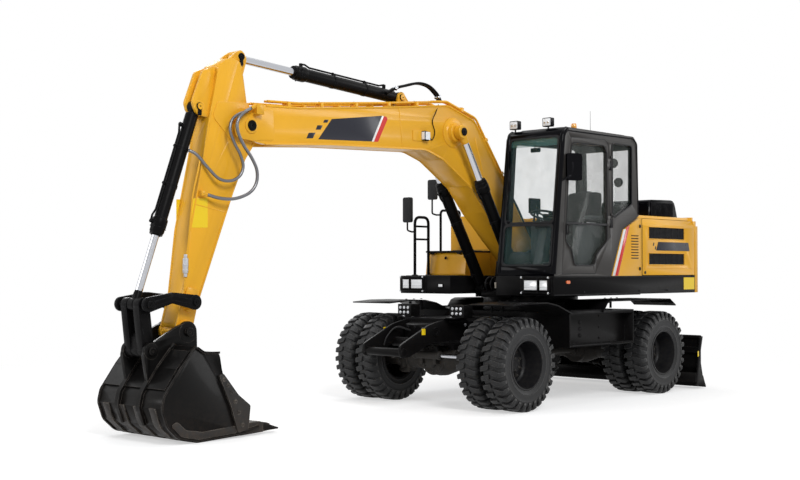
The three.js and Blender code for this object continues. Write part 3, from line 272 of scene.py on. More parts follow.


# each edgeColor is lighter than its base colour: on wornSteel it is bared metal, on the others wear and a painted
# highlight; the paler yellow of yellowPaint is a painted highlight only
finishes = {
    "yellowPaint": {"color": (0.8, 0.405, 0.022), "roughness": 0.33, "coat": 0.1, "coatRoughness": 0.12,
        "drift": 0.045, "dust": 0.06, "dustHeight": 1.0, "grain": 0.05, "grainScale": 260.0,
        "grainDepth": 0.001, "edge": 0.25, "edgeWidth": 0.006, "edgeColor": (0.92, 0.6, 0.12)},
    "blackPaint": {"color": (0.0045, 0.0043, 0.0046), "roughness": 0.36, "drift": 0.15, "dust": 0.08,
        "specular": 0.05, "dustColor": (0.07, 0.055, 0.04), "grain": 0.1, "grainScale": 240.0, "edge": 0.35,
        "edgeWidth": 0.006, "edgeColor": (0.075, 0.075, 0.08)},
    "cabPaint": {"color": (0.028, 0.0255, 0.0235), "roughness": 0.34, "coat": 0.05, "specular": 0.16,
        "drift": 0.1, "grain": 0.05, "grainScale": 300.0, "edge": 0.3, "edgeWidth": 0.006,
        "edgeColor": (0.13, 0.13, 0.14)},
    "cabFramePaint": {"color": (0.0025, 0.0025, 0.0036), "roughness": 0.22, "coat": 0.08, "specular": 0.02,
        "coatRoughness": 0.06, "drift": 0.1, "edge": 0.25, "edgeWidth": 0.008,
        "edgeColor": (0.12, 0.12, 0.14)},
    "tyreRubber": {"color": (0.0095, 0.0098, 0.0108), "roughness": 0.5, "specular": 0.28, "drift": 0.22,
        "dust": 0.16, "dustHeight": 1.1, "dustColor": (0.075, 0.068, 0.058), "grain": 0.28,
        "grainScale": 160.0, "grainDepth": 0.003, "edge": 0.75, "edgeWidth": 0.009,
        "edgeColor": (0.115, 0.112, 0.108), "breakUp": 30.0},
    "rimPaint": {"color": (0.008, 0.008, 0.0095), "roughness": 0.38, "specular": 0.15, "drift": 0.12,
        "dust": 0.16, "dustColor": (0.09, 0.08, 0.06), "grain": 0.08, "edge": 0.4, "edgeWidth": 0.006,
        "edgeColor": (0.13, 0.125, 0.12)},
    "wornSteel": {"color": (0.02, 0.0185, 0.0175), "roughness": 0.42, "drift": 0.28, "dust": 0.55,
        "dustHeight": 0.45, "dustColor": (0.085, 0.06, 0.042), "grain": 0.3, "grainScale": 120.0,
        "edge": 0.85, "edgeWidth": 0.009, "edgeColor": (0.23, 0.2, 0.17), "edgeMetal": 0.7,
        "breakUp": 12.0},
    "bucketPaint": {"color": (0.0046, 0.0043, 0.0042), "roughness": 0.33, "coat": 0.05, "specular": 0.06,
        "drift": 0.18, "dust": 0.16, "dustHeight": 0.5, "dustColor": (0.085, 0.055, 0.038), "grain": 0.14,
        "grainScale": 160.0, "edge": 0.6, "edgeWidth": 0.007, "edgeColor": (0.15, 0.13, 0.115),
        "breakUp": 12.0},
    "castIron": {"color": (0.022, 0.021, 0.02), "roughness": 0.62, "drift": 0.25, "dust": 0.3,
        "dustColor": (0.14, 0.11, 0.08), "grain": 0.4, "grainScale": 140.0, "edge": 0.4,
        "edgeColor": (0.16, 0.15, 0.14)},
    "zincPlate": {"color": (0.52, 0.53, 0.55), "roughness": 0.3, "metallic": 1.0, "drift": 0.12,
        "dust": 0.1, "grain": 0.06, "grainScale": 220.0},
    "trimPlastic": {"color": (0.01, 0.0103, 0.0115), "roughness": 0.55, "drift": 0.08, "grain": 0.3,
        "grainScale": 420.0, "grainDepth": 0.0012},
    "seatCloth": {"color": (0.018, 0.019, 0.022), "roughness": 0.92, "drift": 0.1},
    "greyPlastic": {"color": (0.075, 0.085, 0.09), "roughness": 0.5, "drift": 0.06, "grain": 0.2,
        "grainScale": 420.0},
    "rubberHose": {"color": (0.01, 0.01, 0.011), "roughness": 0.48, "drift": 0.1, "dust": 0.05,
        "grain": 0.2, "grainScale": 300.0},
    "redStripe": {"color": (0.62, 0.022, 0.018), "roughness": 0.28, "coat": 0.4, "drift": 0.03},
    "whiteStripe": {"color": (0.82, 0.82, 0.8), "roughness": 0.3, "coat": 0.4, "drift": 0.02},
    "blankLabel": {"color": (0.022, 0.023, 0.032), "roughness": 0.3, "coat": 0.08, "drift": 0.03},
    "brightYellow": {"color": (0.86, 0.6, 0.012), "roughness": 0.32, "coat": 0.3, "drift": 0.02},
    "hoseSleeve": {"color": (0.62, 0.58, 0.5), "roughness": 0.6, "drift": 0.1, "grain": 0.2},
}
paint = {name: paintMaterial(name, look) for name, look in finishes.items()}


def chromeMaterial():
    material, tree, shader = newSurface("hardChrome", Base_Color=(0.5, 0.51, 0.54, 1), Metallic=1.0)
    place = objectCoords(tree)
    film = noise(tree, place, 40, 5, 0.6)
    link(remap(tree, film, 0.3, 0.7, 0.09, 0.18), shader.inputs["Roughness"])
    return material


def glassMaterial(name, tint, alpha, roughness=0.02):
    # thin pane: mirror gloss by Fresnel over a tinted see-through film
    material, tree, shader = newSurface(name, Base_Color=(*tint, 1), Roughness=roughness, IOR=1.45,
        Transmission_Weight=0.0, Specular_IOR_Level=0.5)
    film = noise(tree, objectCoords(tree), 6, 3)
    link(remap(tree, film, 0.2, 0.8, alpha - 0.03, alpha + 0.03), shader.inputs["Alpha"])
    return material


def braidMaterial():
    # crossed wire strands that follow the hose's own length and girth
    material, tree, shader = newSurface("braidedHose", Metallic=0.75, Roughness=0.34)
    coords = addNode(tree, "ShaderNodeUVMap", uv_map="UVMap")
    heights = []
    for lean in (1, -1):
        turned = addNode(tree, "ShaderNodeMapping", Scale=(1, 1, 1),
            Rotation=(0, 0, lean * math.radians(55)))
        link(coords.outputs["UV"], turned.inputs["Vector"])
        strands = addNode(tree, "ShaderNodeTexWave", wave_type="BANDS", bands_direction="X", Scale=70.0,
            Distortion=0.0)
        link(turned.outputs["Vector"], strands.inputs["Vector"])
        heights.append(strands.outputs["Fac"])
    weave = mathNode(tree, "MAXIMUM", *heights)
    link(mixColors(tree, weave, (0.16, 0.16, 0.17, 1), (0.72, 0.73, 0.75, 1)), shader.inputs["Base Color"])
    bump = addNode(tree, "ShaderNodeBump", Strength=0.5, Distance=0.001)
    link(weave, bump.inputs["Height"])
    link(bump.outputs["Normal"], shader.inputs["Normal"])
    return material


def lampMaterial(name, color, strength):
    # a lens with fine prisms and a faint glow
    material, tree, shader = newSurface(name, Roughness=0.08, Coat_Weight=0.6, Coat_Roughness=0.03,
        Emission_Color=(*color, 1), Emission_Strength=strength)
    place = objectCoords(tree)
    prisms = addNode(tree, "ShaderNodeTexWave", wave_type="BANDS", bands_direction="Z", Scale=22.0,
        Distortion=0.4, Detail=1.0)
    link(place, prisms.inputs["Vector"])
    dim = tuple(0.55 * c for c in color)
    link(mixColors(tree, prisms.outputs["Fac"], (*dim, 1), (*color, 1)), shader.inputs["Base Color"])
    return material


paint["chrome"] = chromeMaterial()
paint["paneGlass"] = glassMaterial("paneGlass", (0.1, 0.2, 0.19), 0.09)
paint["sideGlass"] = glassMaterial("sideGlass", (0.07, 0.085, 0.075), 0.24)
paint["sunStrip"] = glassMaterial("sunStrip", (0.08, 0.22, 0.2), 0.28)
paint["mirrorGlass"] = glassMaterial("mirrorGlass", (0.3, 0.31, 0.33), 1.0, 0.03)
paint["mirrorGlass"].node_tree.nodes["Principled BSDF"].inputs["Metallic"].default_value = 1.0
paint["braid"] = braidMaterial()
paint["lampLens"] = lampMaterial("lampLens", (0.86, 0.88, 0.9), 0.15)
paint["orangeLens"] = lampMaterial("orangeLens", (0.85, 0.16, 0.02), 0.1)
paint["beaconLens"] = lampMaterial("beaconLens", (0.9, 0.38, 0.03), 0.15)
print("finishes made")


# mesh helpers: each adds closed shells to a bmesh
def rounded(points, steps=7):
    # corners of an outline; a third number rounds that corner
    result = []
    count = len(points)
    for i, point in enumerate(points):
        corner = Vector(point[:2])
        radius = point[2] if len(point) > 2 else 0
        if not radius:
            result.append(corner)
            continue
        back = Vector(points[i - 1][:2]) - corner
        ahead = Vector(points[(i + 1) % count][:2]) - corner
        half = back.angle(ahead) / 2
        reach = min(radius / math.tan(half), 0.45 * min(back.length, ahead.length))
        start = corner + back.normalized() * reach
        end = corner + ahead.normalized() * reach
        for step in range(steps + 1):
            t = step / steps
            result.append(start * (1 - t) ** 2 + corner * 2 * t * (1 - t) + end * t ** 2)
    return result


def onPlane(plane, u, v, w):
    # a point of an outline at level w along the axis that the plane faces
    return Vector({"x": (w, u, v), "y": (u, w, v), "z": (u, v, w)}[plane])


def addShell(bm, rows, closedRows, mat, smooth=False):
    # quads between rows of equal length, with n-gon caps when the rows are open
    faces = []
    count = len(rows[0])
    span = len(rows) if closedRows else len(rows) - 1
    for i in range(span):
        low, high = rows[i], rows[(i + 1) % len(rows)]
        for k in range(count):
            quad = [low[k], low[(k + 1) % count], high[(k + 1) % count], high[k]]
            corners = list(dict.fromkeys(quad))
            if len(corners) > 2:
                faces.append(bm.faces.new(corners))
    if not closedRows:
        for row in (rows[0], rows[-1]):
            corners = list(dict.fromkeys(row))
            if len(corners) > 2:
                faces.append(bm.faces.new(corners))
    for face in faces:
        face.material_index = mat
        face.smooth = smooth
    bmesh.ops.recalc_face_normals(bm, faces=faces)
    return faces


def tile(left, low, right, high, radius=0):
    # a rectangle, its corners rounded when a radius is given
    corners = [(left, low), (right, low), (right, high), (left, high)]
    return [(*corner, radius) for corner in corners] if radius else corners


def addPlate(bm, points, plane, low, high, mat=0):
    # an outline given from the slew axis, extruded along one axis
    outline = rounded(points)
    shift = {"x": (0, 0, slewX), "y": (slewX, 0, 0), "z": (slewX, 0, 0)}[plane]
    rows = []
    for level in (low, high):
        rows.append([bm.verts.new(onPlane(plane, p[0] + shift[0], p[1] + shift[1], level + shift[2]))
            for p in outline])
    return addShell(bm, rows, False, mat)


def addSidePlate(bm, points, s, face, thick, mat=0):
    # a plate laid on a side face; s is 1 on the left and -1 on the right
    return addPlate(bm, points, "y", s * face, s * (face + thick), mat)


def addBox(bm, first, last, mat=0):
    # a block between two opposite corners, given in any order
    (x0, x1), (y0, y1), (z0, z1) = map(sorted, zip(first, last))
    return addPlate(bm, tile(x0, y0, x1, y1), "z", z0, z1, mat)


def turnFrame(axis):
    axis = Vector(axis).normalized()
    side = axis.orthogonal().normalized()
    return side, axis.cross(side), axis


def addLathe(bm, profile, centre, axis, mat=0, sides=48, closed=False):
    # a profile of (radius, distance along the axis) turned round it; centre is a point in the frame
    first, second, along = turnFrame(axis)
    centre = Vector(centre)
    rows = []
    for radius, distance in profile:
        middle = centre + along * distance
        if radius < 1e-6:
            rows.append([bm.verts.new(middle)] * sides)
            continue
        rows.append([bm.verts.new(middle + (first * math.cos(a) + second * math.sin(a)) * radius)
            for a in (2 * math.pi * k / sides for k in range(sides))])
    return addShell(bm, rows, closed, mat, True)


def addDisc(bm, size, centre, axis, mat=0, sides=48):
    # a flat disc: radius, height of its rim, radius and height of its top
    radius, rim, top, height = size
    return addLathe(bm, [(0, 0), (radius, 0), (radius, rim), (top, height), (0, height)], centre, axis, mat,
        sides)


def addBar(bm, start, end, radius, mat=0, sides=24, chamfer=0.0):
    # a round bar between two points in the frame
    start, end = Vector(start), Vector(end)
    length = (end - start).length
    edge = chamfer or min(radius, length) * 0.12
    profile = [(0, 0), (radius - edge, 0), (radius, edge), (radius, length - edge), (radius - edge, length),
        (0, length)]
    return addLathe(bm, profile, start, end - start, mat, sides)


def smoothPath(points, step=0.02):
    # a Catmull-Rom line through the points, at about equal steps
    knots = [2 * points[0] - points[1], *points, 2 * points[-1] - points[-2]]
    path = []
    for i in range(1, len(knots) - 2):
        a, b, c, d = knots[i - 1:i + 3]
        count = max(2, math.ceil((c - b).length / step))
        for k in range(count):
            t = k / count
            path.append(0.5 * ((2 * b) + (c - a) * t + (2 * a - 5 * b + 4 * c - d) * t ** 2
                + (3 * b - a - 3 * c + d) * t ** 3))
    path.append(points[-1])
    return path


def bentPath(points, radius, steps=6):
    # straight runs with round bends
    path = [points[0]]
    for before, corner, after in zip(points, points[1:], points[2:]):
        back, ahead = before - corner, after - corner
        half = back.angle(ahead) / 2
        reach = min(radius / math.tan(half), 0.48 * min(back.length, ahead.length))
        start = corner + back.normalized() * reach
        end = corner + ahead.normalized() * reach
        for k in range(steps + 1):
            t = k / steps
            path.append(start * (1 - t) ** 2 + corner * 2 * t * (1 - t) + end * t ** 2)
    path.append(points[-1])
    return path


def addTube(bm, path, radius, mat=0, sides=14, uvScale=None):
    # a round tube that follows a path without twisting
    tangents = [(path[min(i + 1, len(path) - 1)] - path[max(i - 1, 0)]).normalized()
        for i in range(len(path))]
    side = tangents[0].orthogonal().normalized()
    rows = []
    lengths = [0.0]
    for i, (point, tangent) in enumerate(zip(path, tangents)):
        side = (side - tangent * side.dot(tangent)).normalized()
        up = tangent.cross(side)
        rows.append([bm.verts.new(point + (side * math.cos(a) + up * math.sin(a)) * radius)
            for a in (2 * math.pi * k / sides for k in range(sides))])
        if i:
            lengths.append(lengths[-1] + (point - path[i - 1]).length)
    faces = addShell(bm, rows, False, mat, True)
    if uvScale:
        layer = bm.loops.layers.uv.verify()
        place = {v: (i, k) for i, row in enumerate(rows) for k, v in enumerate(row)}
        girth = 2 * math.pi * radius
        for face in faces:
            spots = [place[loop.vert] for loop in face.loops]
            wraps = len(face.loops) == 4 and {s[1] for s in spots} == {0, sides - 1}
            for loop, (i, k) in zip(face.loops, spots):
                turn = sides if wraps and k == 0 else k
                loop[layer].uv = (turn / sides * girth * uvScale, lengths[i] * uvScale)
    return faces


def plainMesh(piece):
    # the evaluated piece as a plain mesh, with its modifiers gone
    graph = bpy.context.evaluated_depsgraph_get()
    mesh = bpy.data.meshes.new_from_object(piece.evaluated_get(graph), depsgraph=graph)
    piece.modifiers.clear()
    old = piece.data
    piece.data = mesh
    bpy.data.meshes.remove(old)


def newObject(name, bm):
    mesh = bpy.data.meshes.new(name)
    bm.to_mesh(mesh)
    bm.free()
    piece = bpy.data.objects.new(name, mesh)
    bpy.context.scene.collection.objects.link(piece)
    return piece


def settle(piece, body, replaces, angle):
    # normals smooth up to an angle; the piece rides its body
    piece.data.shade_smooth()
    piece.data.set_sharp_from_angle(angle=math.radians(angle))
    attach(piece, body)
    if replaces:
        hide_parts(*replaces)
    return piece


def makePiece(name, bm, body, materials, bevel=0.0, segments=2, replaces=(), angle=35):
    # a finished piece on its body, its edges rounded
    piece = newObject(name, bm)
    for material in materials:
        piece.data.materials.append(paint[material])
    if bevel:
        modifier = piece.modifiers.new("edges", "BEVEL")
        modifier.width = bevel
        modifier.segments = segments
        modifier.limit_method = "ANGLE"
        modifier.angle_limit = math.radians(28)
        modifier.harden_normals = True
        bpy.context.view_layer.update()
        plainMesh(piece)
    return settle(piece, body, replaces, angle)


def copyOfNode(node):
    # the CAD solid as a merged bmesh, to be finished as a piece of its own
    bm = bmesh.new()
    bm.from_mesh(frame["nodes"][node].data)
    bmesh.ops.remove_doubles(bm, verts=bm.verts, dist=2e-5)
    bmesh.ops.dissolve_limit(bm, angle_limit=math.radians(0.6), verts=bm.verts, edges=bm.edges)
    for face in bm.faces:
        face.material_index = 0
    return bm


def refinedNode(node, body, material, bevel, extra=None, materials=()):
    bm = copyOfNode(node)
    if extra:
        extra(bm)
    return makePiece(node + "_finish", bm, body, [material, *materials], bevel, 2, [node])


# Geometry Nodes: a ring of copies and a row of copies
def repeatTree(name, extraInputs):
    tree = bpy.data.node_groups.new(name, "GeometryNodeTree")
    tree.interface.new_socket("Item", in_out="INPUT", socket_type="NodeSocketGeometry")
    for label, kind in [("Count", "NodeSocketInt"), *extraInputs, ("Finish", "NodeSocketMaterial")]:
        tree.interface.new_socket(label, in_out="INPUT", socket_type=kind)
    tree.interface.new_socket("Geometry", in_out="OUTPUT", socket_type="NodeSocketGeometry")
    return tree, tree.nodes.new("NodeGroupInput"), tree.nodes.new("NodeGroupOutput")


def closeTree(tree, given, out, instances):
    realize = tree.nodes.new("GeometryNodeRealizeInstances")
    finish = tree.nodes.new("GeometryNodeSetMaterial")
    link(instances.outputs["Instances"], realize.inputs["Geometry"])
    link(realize.outputs["Geometry"], finish.inputs["Geometry"])
    link(given.outputs["Finish"], finish.inputs["Material"])
    link(finish.outputs["Geometry"], out.inputs["Geometry"])
    return tree


def makeRingTree():
    tree, given, out = repeatTree("ringOfCopies", [("Centre", "NodeSocketVector"),
        ("Turn", "NodeSocketVector")])
    points = tree.nodes.new("GeometryNodePoints")
    link(given.outputs["Count"], points.inputs["Count"])
    link(given.outputs["Centre"], points.inputs["Position"])
    back = tree.nodes.new("ShaderNodeVectorMath")
    back.operation = "SCALE"
    back.inputs["Scale"].default_value = -1
    link(given.outputs["Centre"], back.inputs[0])
    centred = tree.nodes.new("GeometryNodeTransform")
    link(given.outputs["Item"], centred.inputs["Geometry"])
    link(back.outputs["Vector"], centred.inputs["Translation"])
    number = tree.nodes.new("GeometryNodeInputIndex")
    angle = tree.nodes.new("ShaderNodeVectorMath")
    angle.operation = "SCALE"
    link(given.outputs["Turn"], angle.inputs[0])
    link(number.outputs["Index"], angle.inputs["Scale"])
    instances = tree.nodes.new("GeometryNodeInstanceOnPoints")
    link(points.outputs["Points"], instances.inputs["Points"])
    link(centred.outputs["Geometry"], instances.inputs["Instance"])
    link(angle.outputs["Vector"], instances.inputs["Rotation"])
    return closeTree(tree, given, out, instances)


def makeRowTree():
    tree, given, out = repeatTree("rowOfCopies", [("Step", "NodeSocketVector")])
    line = tree.nodes.new("GeometryNodeMeshLine")
    line.mode = "OFFSET"
    link(given.outputs["Count"], line.inputs["Count"])
    link(given.outputs["Step"], line.inputs["Offset"])
    instances = tree.nodes.new("GeometryNodeInstanceOnPoints")
    link(line.outputs["Mesh"], instances.inputs["Points"])
    link(given.outputs["Item"], instances.inputs["Instance"])
    return closeTree(tree, given, out, instances)


ringTree = makeRingTree()
rowTree = makeRowTree()


def repeatPiece(name, bm, tree, values, body, material, bevel=0.0):
    # one item, repeated by the tree and realized as a plain mesh
    piece = newObject(name, bm)
    if bevel:
        edges = piece.modifiers.new("edges", "BEVEL")
        edges.width = bevel
        edges.segments = 1
        edges.limit_method = "ANGLE"
        edges.angle_limit = math.radians(28)
    repeats = piece.modifiers.new("repeats", "NODES")
    repeats.node_group = tree
    sockets = {s.name: s.identifier for s in tree.interface.items_tree if s.in_out == "INPUT"}
    for label, value in values.items():
        repeats[sockets[label]] = value
    repeats[sockets["Finish"]] = paint[material]
    bpy.context.view_layer.update()
    plainMesh(piece)
    return settle(piece, body, (), 35)


def ringPiece(name, bm, centre, axis, count, body, material, bevel=0.0):
    turn = Vector(axis).normalized() * (2 * math.pi / count)
    values = {"Count": count, "Centre": Vector(centre), "Turn": turn}
    return repeatPiece(name, bm, ringTree, values, body, material, bevel)


def rowPiece(name, bm, step, count, body, material, bevel=0.0):
    values = {"Count": count, "Step": Vector(step)}
    return repeatPiece(name, bm, rowTree, values, body, material, bevel)


def addBolt(bm, place, axis, radius=0.014, height=0.012, mat=0):
    # a hexagon head on a washer, standing on a surface
    first, second, along = turnFrame(axis)
    place = Vector(place)
    addLathe(bm, tile(0, 0, radius * 1.45, height * 0.25), place, axis, mat, 14)
    rows = []
    for level in (height * 0.2, height):
        rows.append([bm.verts.new(place + along * level
            + (first * math.cos(a) + second * math.sin(a)) * radius)
            for a in (math.pi / 3 * k for k in range(6))])
    return addShell(bm, rows, False, mat)


print("helpers ready")


# floor, backdrop and lamps
lamps = {
    "keyLamp": {"place": (9.0, 13.0, 11.0), "target": (1.5, 0.0, 1.5), "size": 6.0, "level": 0.5},
    "topLamp": {"place": (0.5, -1.0, 13.5), "target": (0.8, 0.0, 1.0), "size": 9.0, "level": 0.3},
    "frontLamp": {"place": (16.0, -5.0, 6.0), "target": (1.5, 0.0, 1.5), "size": 6.0, "level": 0.24},
    "rearLamp": {"place": (-12.0, 9.0, 8.0), "target": (-1.0, 0.0, 1.5), "size": 6.0, "level": 0.18},
    "farLamp": {"place": (-2.0, -14.0, 8.0), "target": (0.5, 0.0, 1.5), "size": 6.0, "level": 0.18},
}


def makeLamp(name, plan):
    place, target = at(*plan["place"]), at(*plan["target"])
    data = bpy.data.lights.new(name, "AREA")
    data.shape = "DISK"
    data.size = plan["size"]
    data.energy = plan["level"] * math.pi ** 2 * (place - target).length_squared
    lamp = bpy.data.objects.new(name, data)
    bpy.context.scene.collection.objects.link(lamp)
    lamp.location = place
    lamp.rotation_mode = "QUATERNION"
    lamp.rotation_quaternion = (target - place).to_track_quat("-Z", "Y")


def seenDirectly(tree):
    # 1 for what the camera, a mirror or a pane looks at
    path = addNode(tree, "ShaderNodeLightPath")
    seen = mathNode(tree, "MAXIMUM", path.outputs["Is Camera Ray"], path.outputs["Is Glossy Ray"])
    return mathNode(tree, "MAXIMUM", seen, path.outputs["Is Transmission Ray"])


stage = {"fill": 0.34, "floorShare": 0.52, "fade": (4.5, 8.5), "half": 60}


def makeStage():
    world = bpy.data.worlds.new("studio")
    bpy.context.scene.world = world
    world.use_nodes = True
    tree = world.node_tree
    tree.nodes.clear()
    out = addNode(tree, "ShaderNodeOutputWorld")
    soft = addNode(tree, "ShaderNodeBackground", Color=(0.95, 0.97, 1.0, 1), Strength=stage["fill"])
    white = addNode(tree, "ShaderNodeBackground", Color=(1, 1, 1, 1), Strength=1.0)
    mix = addNode(tree, "ShaderNodeMixShader")
    link(seenDirectly(tree), mix.inputs[0])
    link(soft.outputs[0], mix.inputs[1])
    link(white.outputs[0], mix.inputs[2])
    link(mix.outputs[0], out.inputs["Surface"])
    material = bpy.data.materials.new("paleFloor")
    tree = newTree(material)
    out = addNode(tree, "ShaderNodeOutputMaterial")
    matte = addNode(tree, "ShaderNodeBsdfDiffuse", Color=(0.62, 0.62, 0.62, 1))
    glow = addNode(tree, "ShaderNodeEmission")
    link(mathNode(tree, "MULTIPLY", seenDirectly(tree), stage["floorShare"]), glow.inputs["Strength"])
    add = addNode(tree, "ShaderNodeAddShader")
    link(matte.outputs[0], add.inputs[0])
    link(glow.outputs[0], add.inputs[1])
    # away from the machine the floor fades into the white backdrop
    distance = addNode(tree, "ShaderNodeVectorMath", operation="LENGTH")
    link(objectCoords(tree), distance.inputs[0])
    far = remap(tree, distance.outputs["Value"], *stage["fade"])
    plain = addNode(tree, "ShaderNodeEmission")
    blend = addNode(tree, "ShaderNodeMixShader")
    link(mathNode(tree, "MULTIPLY", far, seenDirectly(tree)), blend.inputs[0])
    link(add.outputs[0], blend.inputs[1])
    link(plain.outputs[0], blend.inputs[2])
    link(blend.outputs[0], out.inputs["Surface"])
    mesh = bpy.data.meshes.new("floor")
    half = stage["half"]
    mesh.from_pydata([(*corner, 0) for corner in tile(-half, -half, half, half)], [], [(0, 1, 2, 3)])
    floor = bpy.data.objects.new("floor", mesh)
    mesh.materials.append(material)
    bpy.context.scene.collection.objects.link(floor)


for name, plan in lamps.items():
    makeLamp(name, plan)
makeStage()
print("stage lit")


# the free hose loop from the boom's end to the stick, and its twin that feeds the bucket cylinder
outerHose = {"radius": 0.016, "route": [(4.744, 0.232, 3.101), (4.842, 0.25, 3.053), (4.92, 0.255, 2.975),
    (4.929, 0.258, 2.87), (4.86, 0.262, 2.738), (4.761, 0.264, 2.622), (4.695, 0.264, 2.503),
    (4.7, 0.26, 2.379), (4.779, 0.25, 2.283), (4.935, 0.232, 2.223), (5.089, 0.205, 2.22),
    (5.22, 0.17, 2.25)]}
innerHose = {"radius": 0.015, "route": [(4.748, 0.185, 3.075), (4.862, 0.2, 3.04), (4.955, 0.208, 2.975),
    (4.985, 0.215, 2.87), (4.94, 0.222, 2.755), (4.868, 0.225, 2.645), (4.832, 0.224, 2.54),
    (4.868, 0.22, 2.446), (4.968, 0.208, 2.392), (5.09, 0.188, 2.404), (5.2, 0.16, 2.5),
    (5.3, 0.116, 2.622), (5.37, 0.08, 2.664)]}


def bentHose(name, plan, nodes=()):
    path = smoothPath([at(*p) for p in plan["route"]], 0.022)
    bm = bmesh.new()
    addTube(bm, path, plan["radius"], 0, 14, 10.0)
    hose = newObject(name, bm)
    hose.data.materials.append(paint["braid"])
    hose.data.shade_smooth()
    if nodes:
        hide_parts(*nodes)
    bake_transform(hose)


bentHose("outer_stick_hose", outerHose, ["stick_hose_outer"])
bentHose("inner_stick_hose", innerHose)
print("hoses laid")


# tyres with block tread on dished rims
tyre = {"tread": 0.5155, "groove": 0.023, "width": 0.276, "outerY": 1.112, "spacing": 0.335, "bead": 0.277,
    "blocks": 30, "sides": 120}
rimSize = {"radius": 0.262, "lip": 0.279, "discY": 1.005, "studs": 10, "studCircle": 0.16, "coverBolts": 6,
    "coverCircle": 0.066}


def carcassProfile(middle):
    # (radius, distance) down one flank, through the tread base and up the other
    half = tyre["width"] / 2
    base = tyre["tread"] - tyre["groove"]
    flank = [(tyre["bead"], half - 0.03), (tyre["bead"] + 0.004, half - 0.014), (0.3, half - 0.009),
        (0.318, half - 0.002), (0.322, half + 0.0015), (0.328, half + 0.0015), (0.331, half - 0.001),
        (0.365, half + 0.001), (0.392, half), (0.396, half + 0.0025), (0.404, half + 0.0025),
        (0.408, half - 0.001), (0.432, half - 0.006), (0.452, half - 0.014), (0.47, half - 0.026),
        (base - 0.006, half - 0.04)]
    crown = [(base, half - 0.07), (base + 0.002, 0.03)]
    side = [*flank, *crown]
    return [(r, middle + w) for r, w in side] + [(r, middle - w) for r, w in reversed(side)]


def addTreadBlock(bm, centre, radiusRows, width, turn, slant):
    # a block whose section runs along Y; radiusRows are (y, low radius, high radius, share of the width)
    rows = []
    for y, low, high, share in radiusRows:
        row = []
        for radius, side in ((low, -1), (high, -0.88), (high, 0.88), (low, 1)):
            angle = turn + (side * width * share / 2 + slant * y) / tyre["tread"]
            row.append(bm.verts.new(centre + Vector((math.sin(angle) * radius, y,
                math.cos(angle) * radius))))
        rows.append(row)
    addShell(bm, rows, False, 0)


def addTreadPitch(bm, centre, middle):
    # one pitch of the tread: a long bent lug from each shoulder, half a pitch apart
    top, base = tyre["tread"], tyre["tread"] - tyre["groove"] - 0.004
    half = tyre["width"] / 2
    pitch = 2 * math.pi / tyre["blocks"]
    for side, turn in ((1, 0.0), (-1, pitch / 2)):
        at0 = centre + Vector((0, middle, 0))
        rows = [(0.012, base, top, 0.8), (0.034, base, top, 1.0), (0.08, base, top, 1.0),
            (0.112, base - 0.006, top - 0.003, 0.94), (0.131, base - 0.03, top - 0.014, 0.86),
            (0.1405, base - 0.062, top - 0.04, 0.78), (half + 0.0035, base - 0.08, base - 0.05, 0.66)]
        rows = [(side * y, low, high, share) for y, low, high, share in rows]
        addTreadBlock(bm, at0, rows, 0.066, turn, side * 0.24)


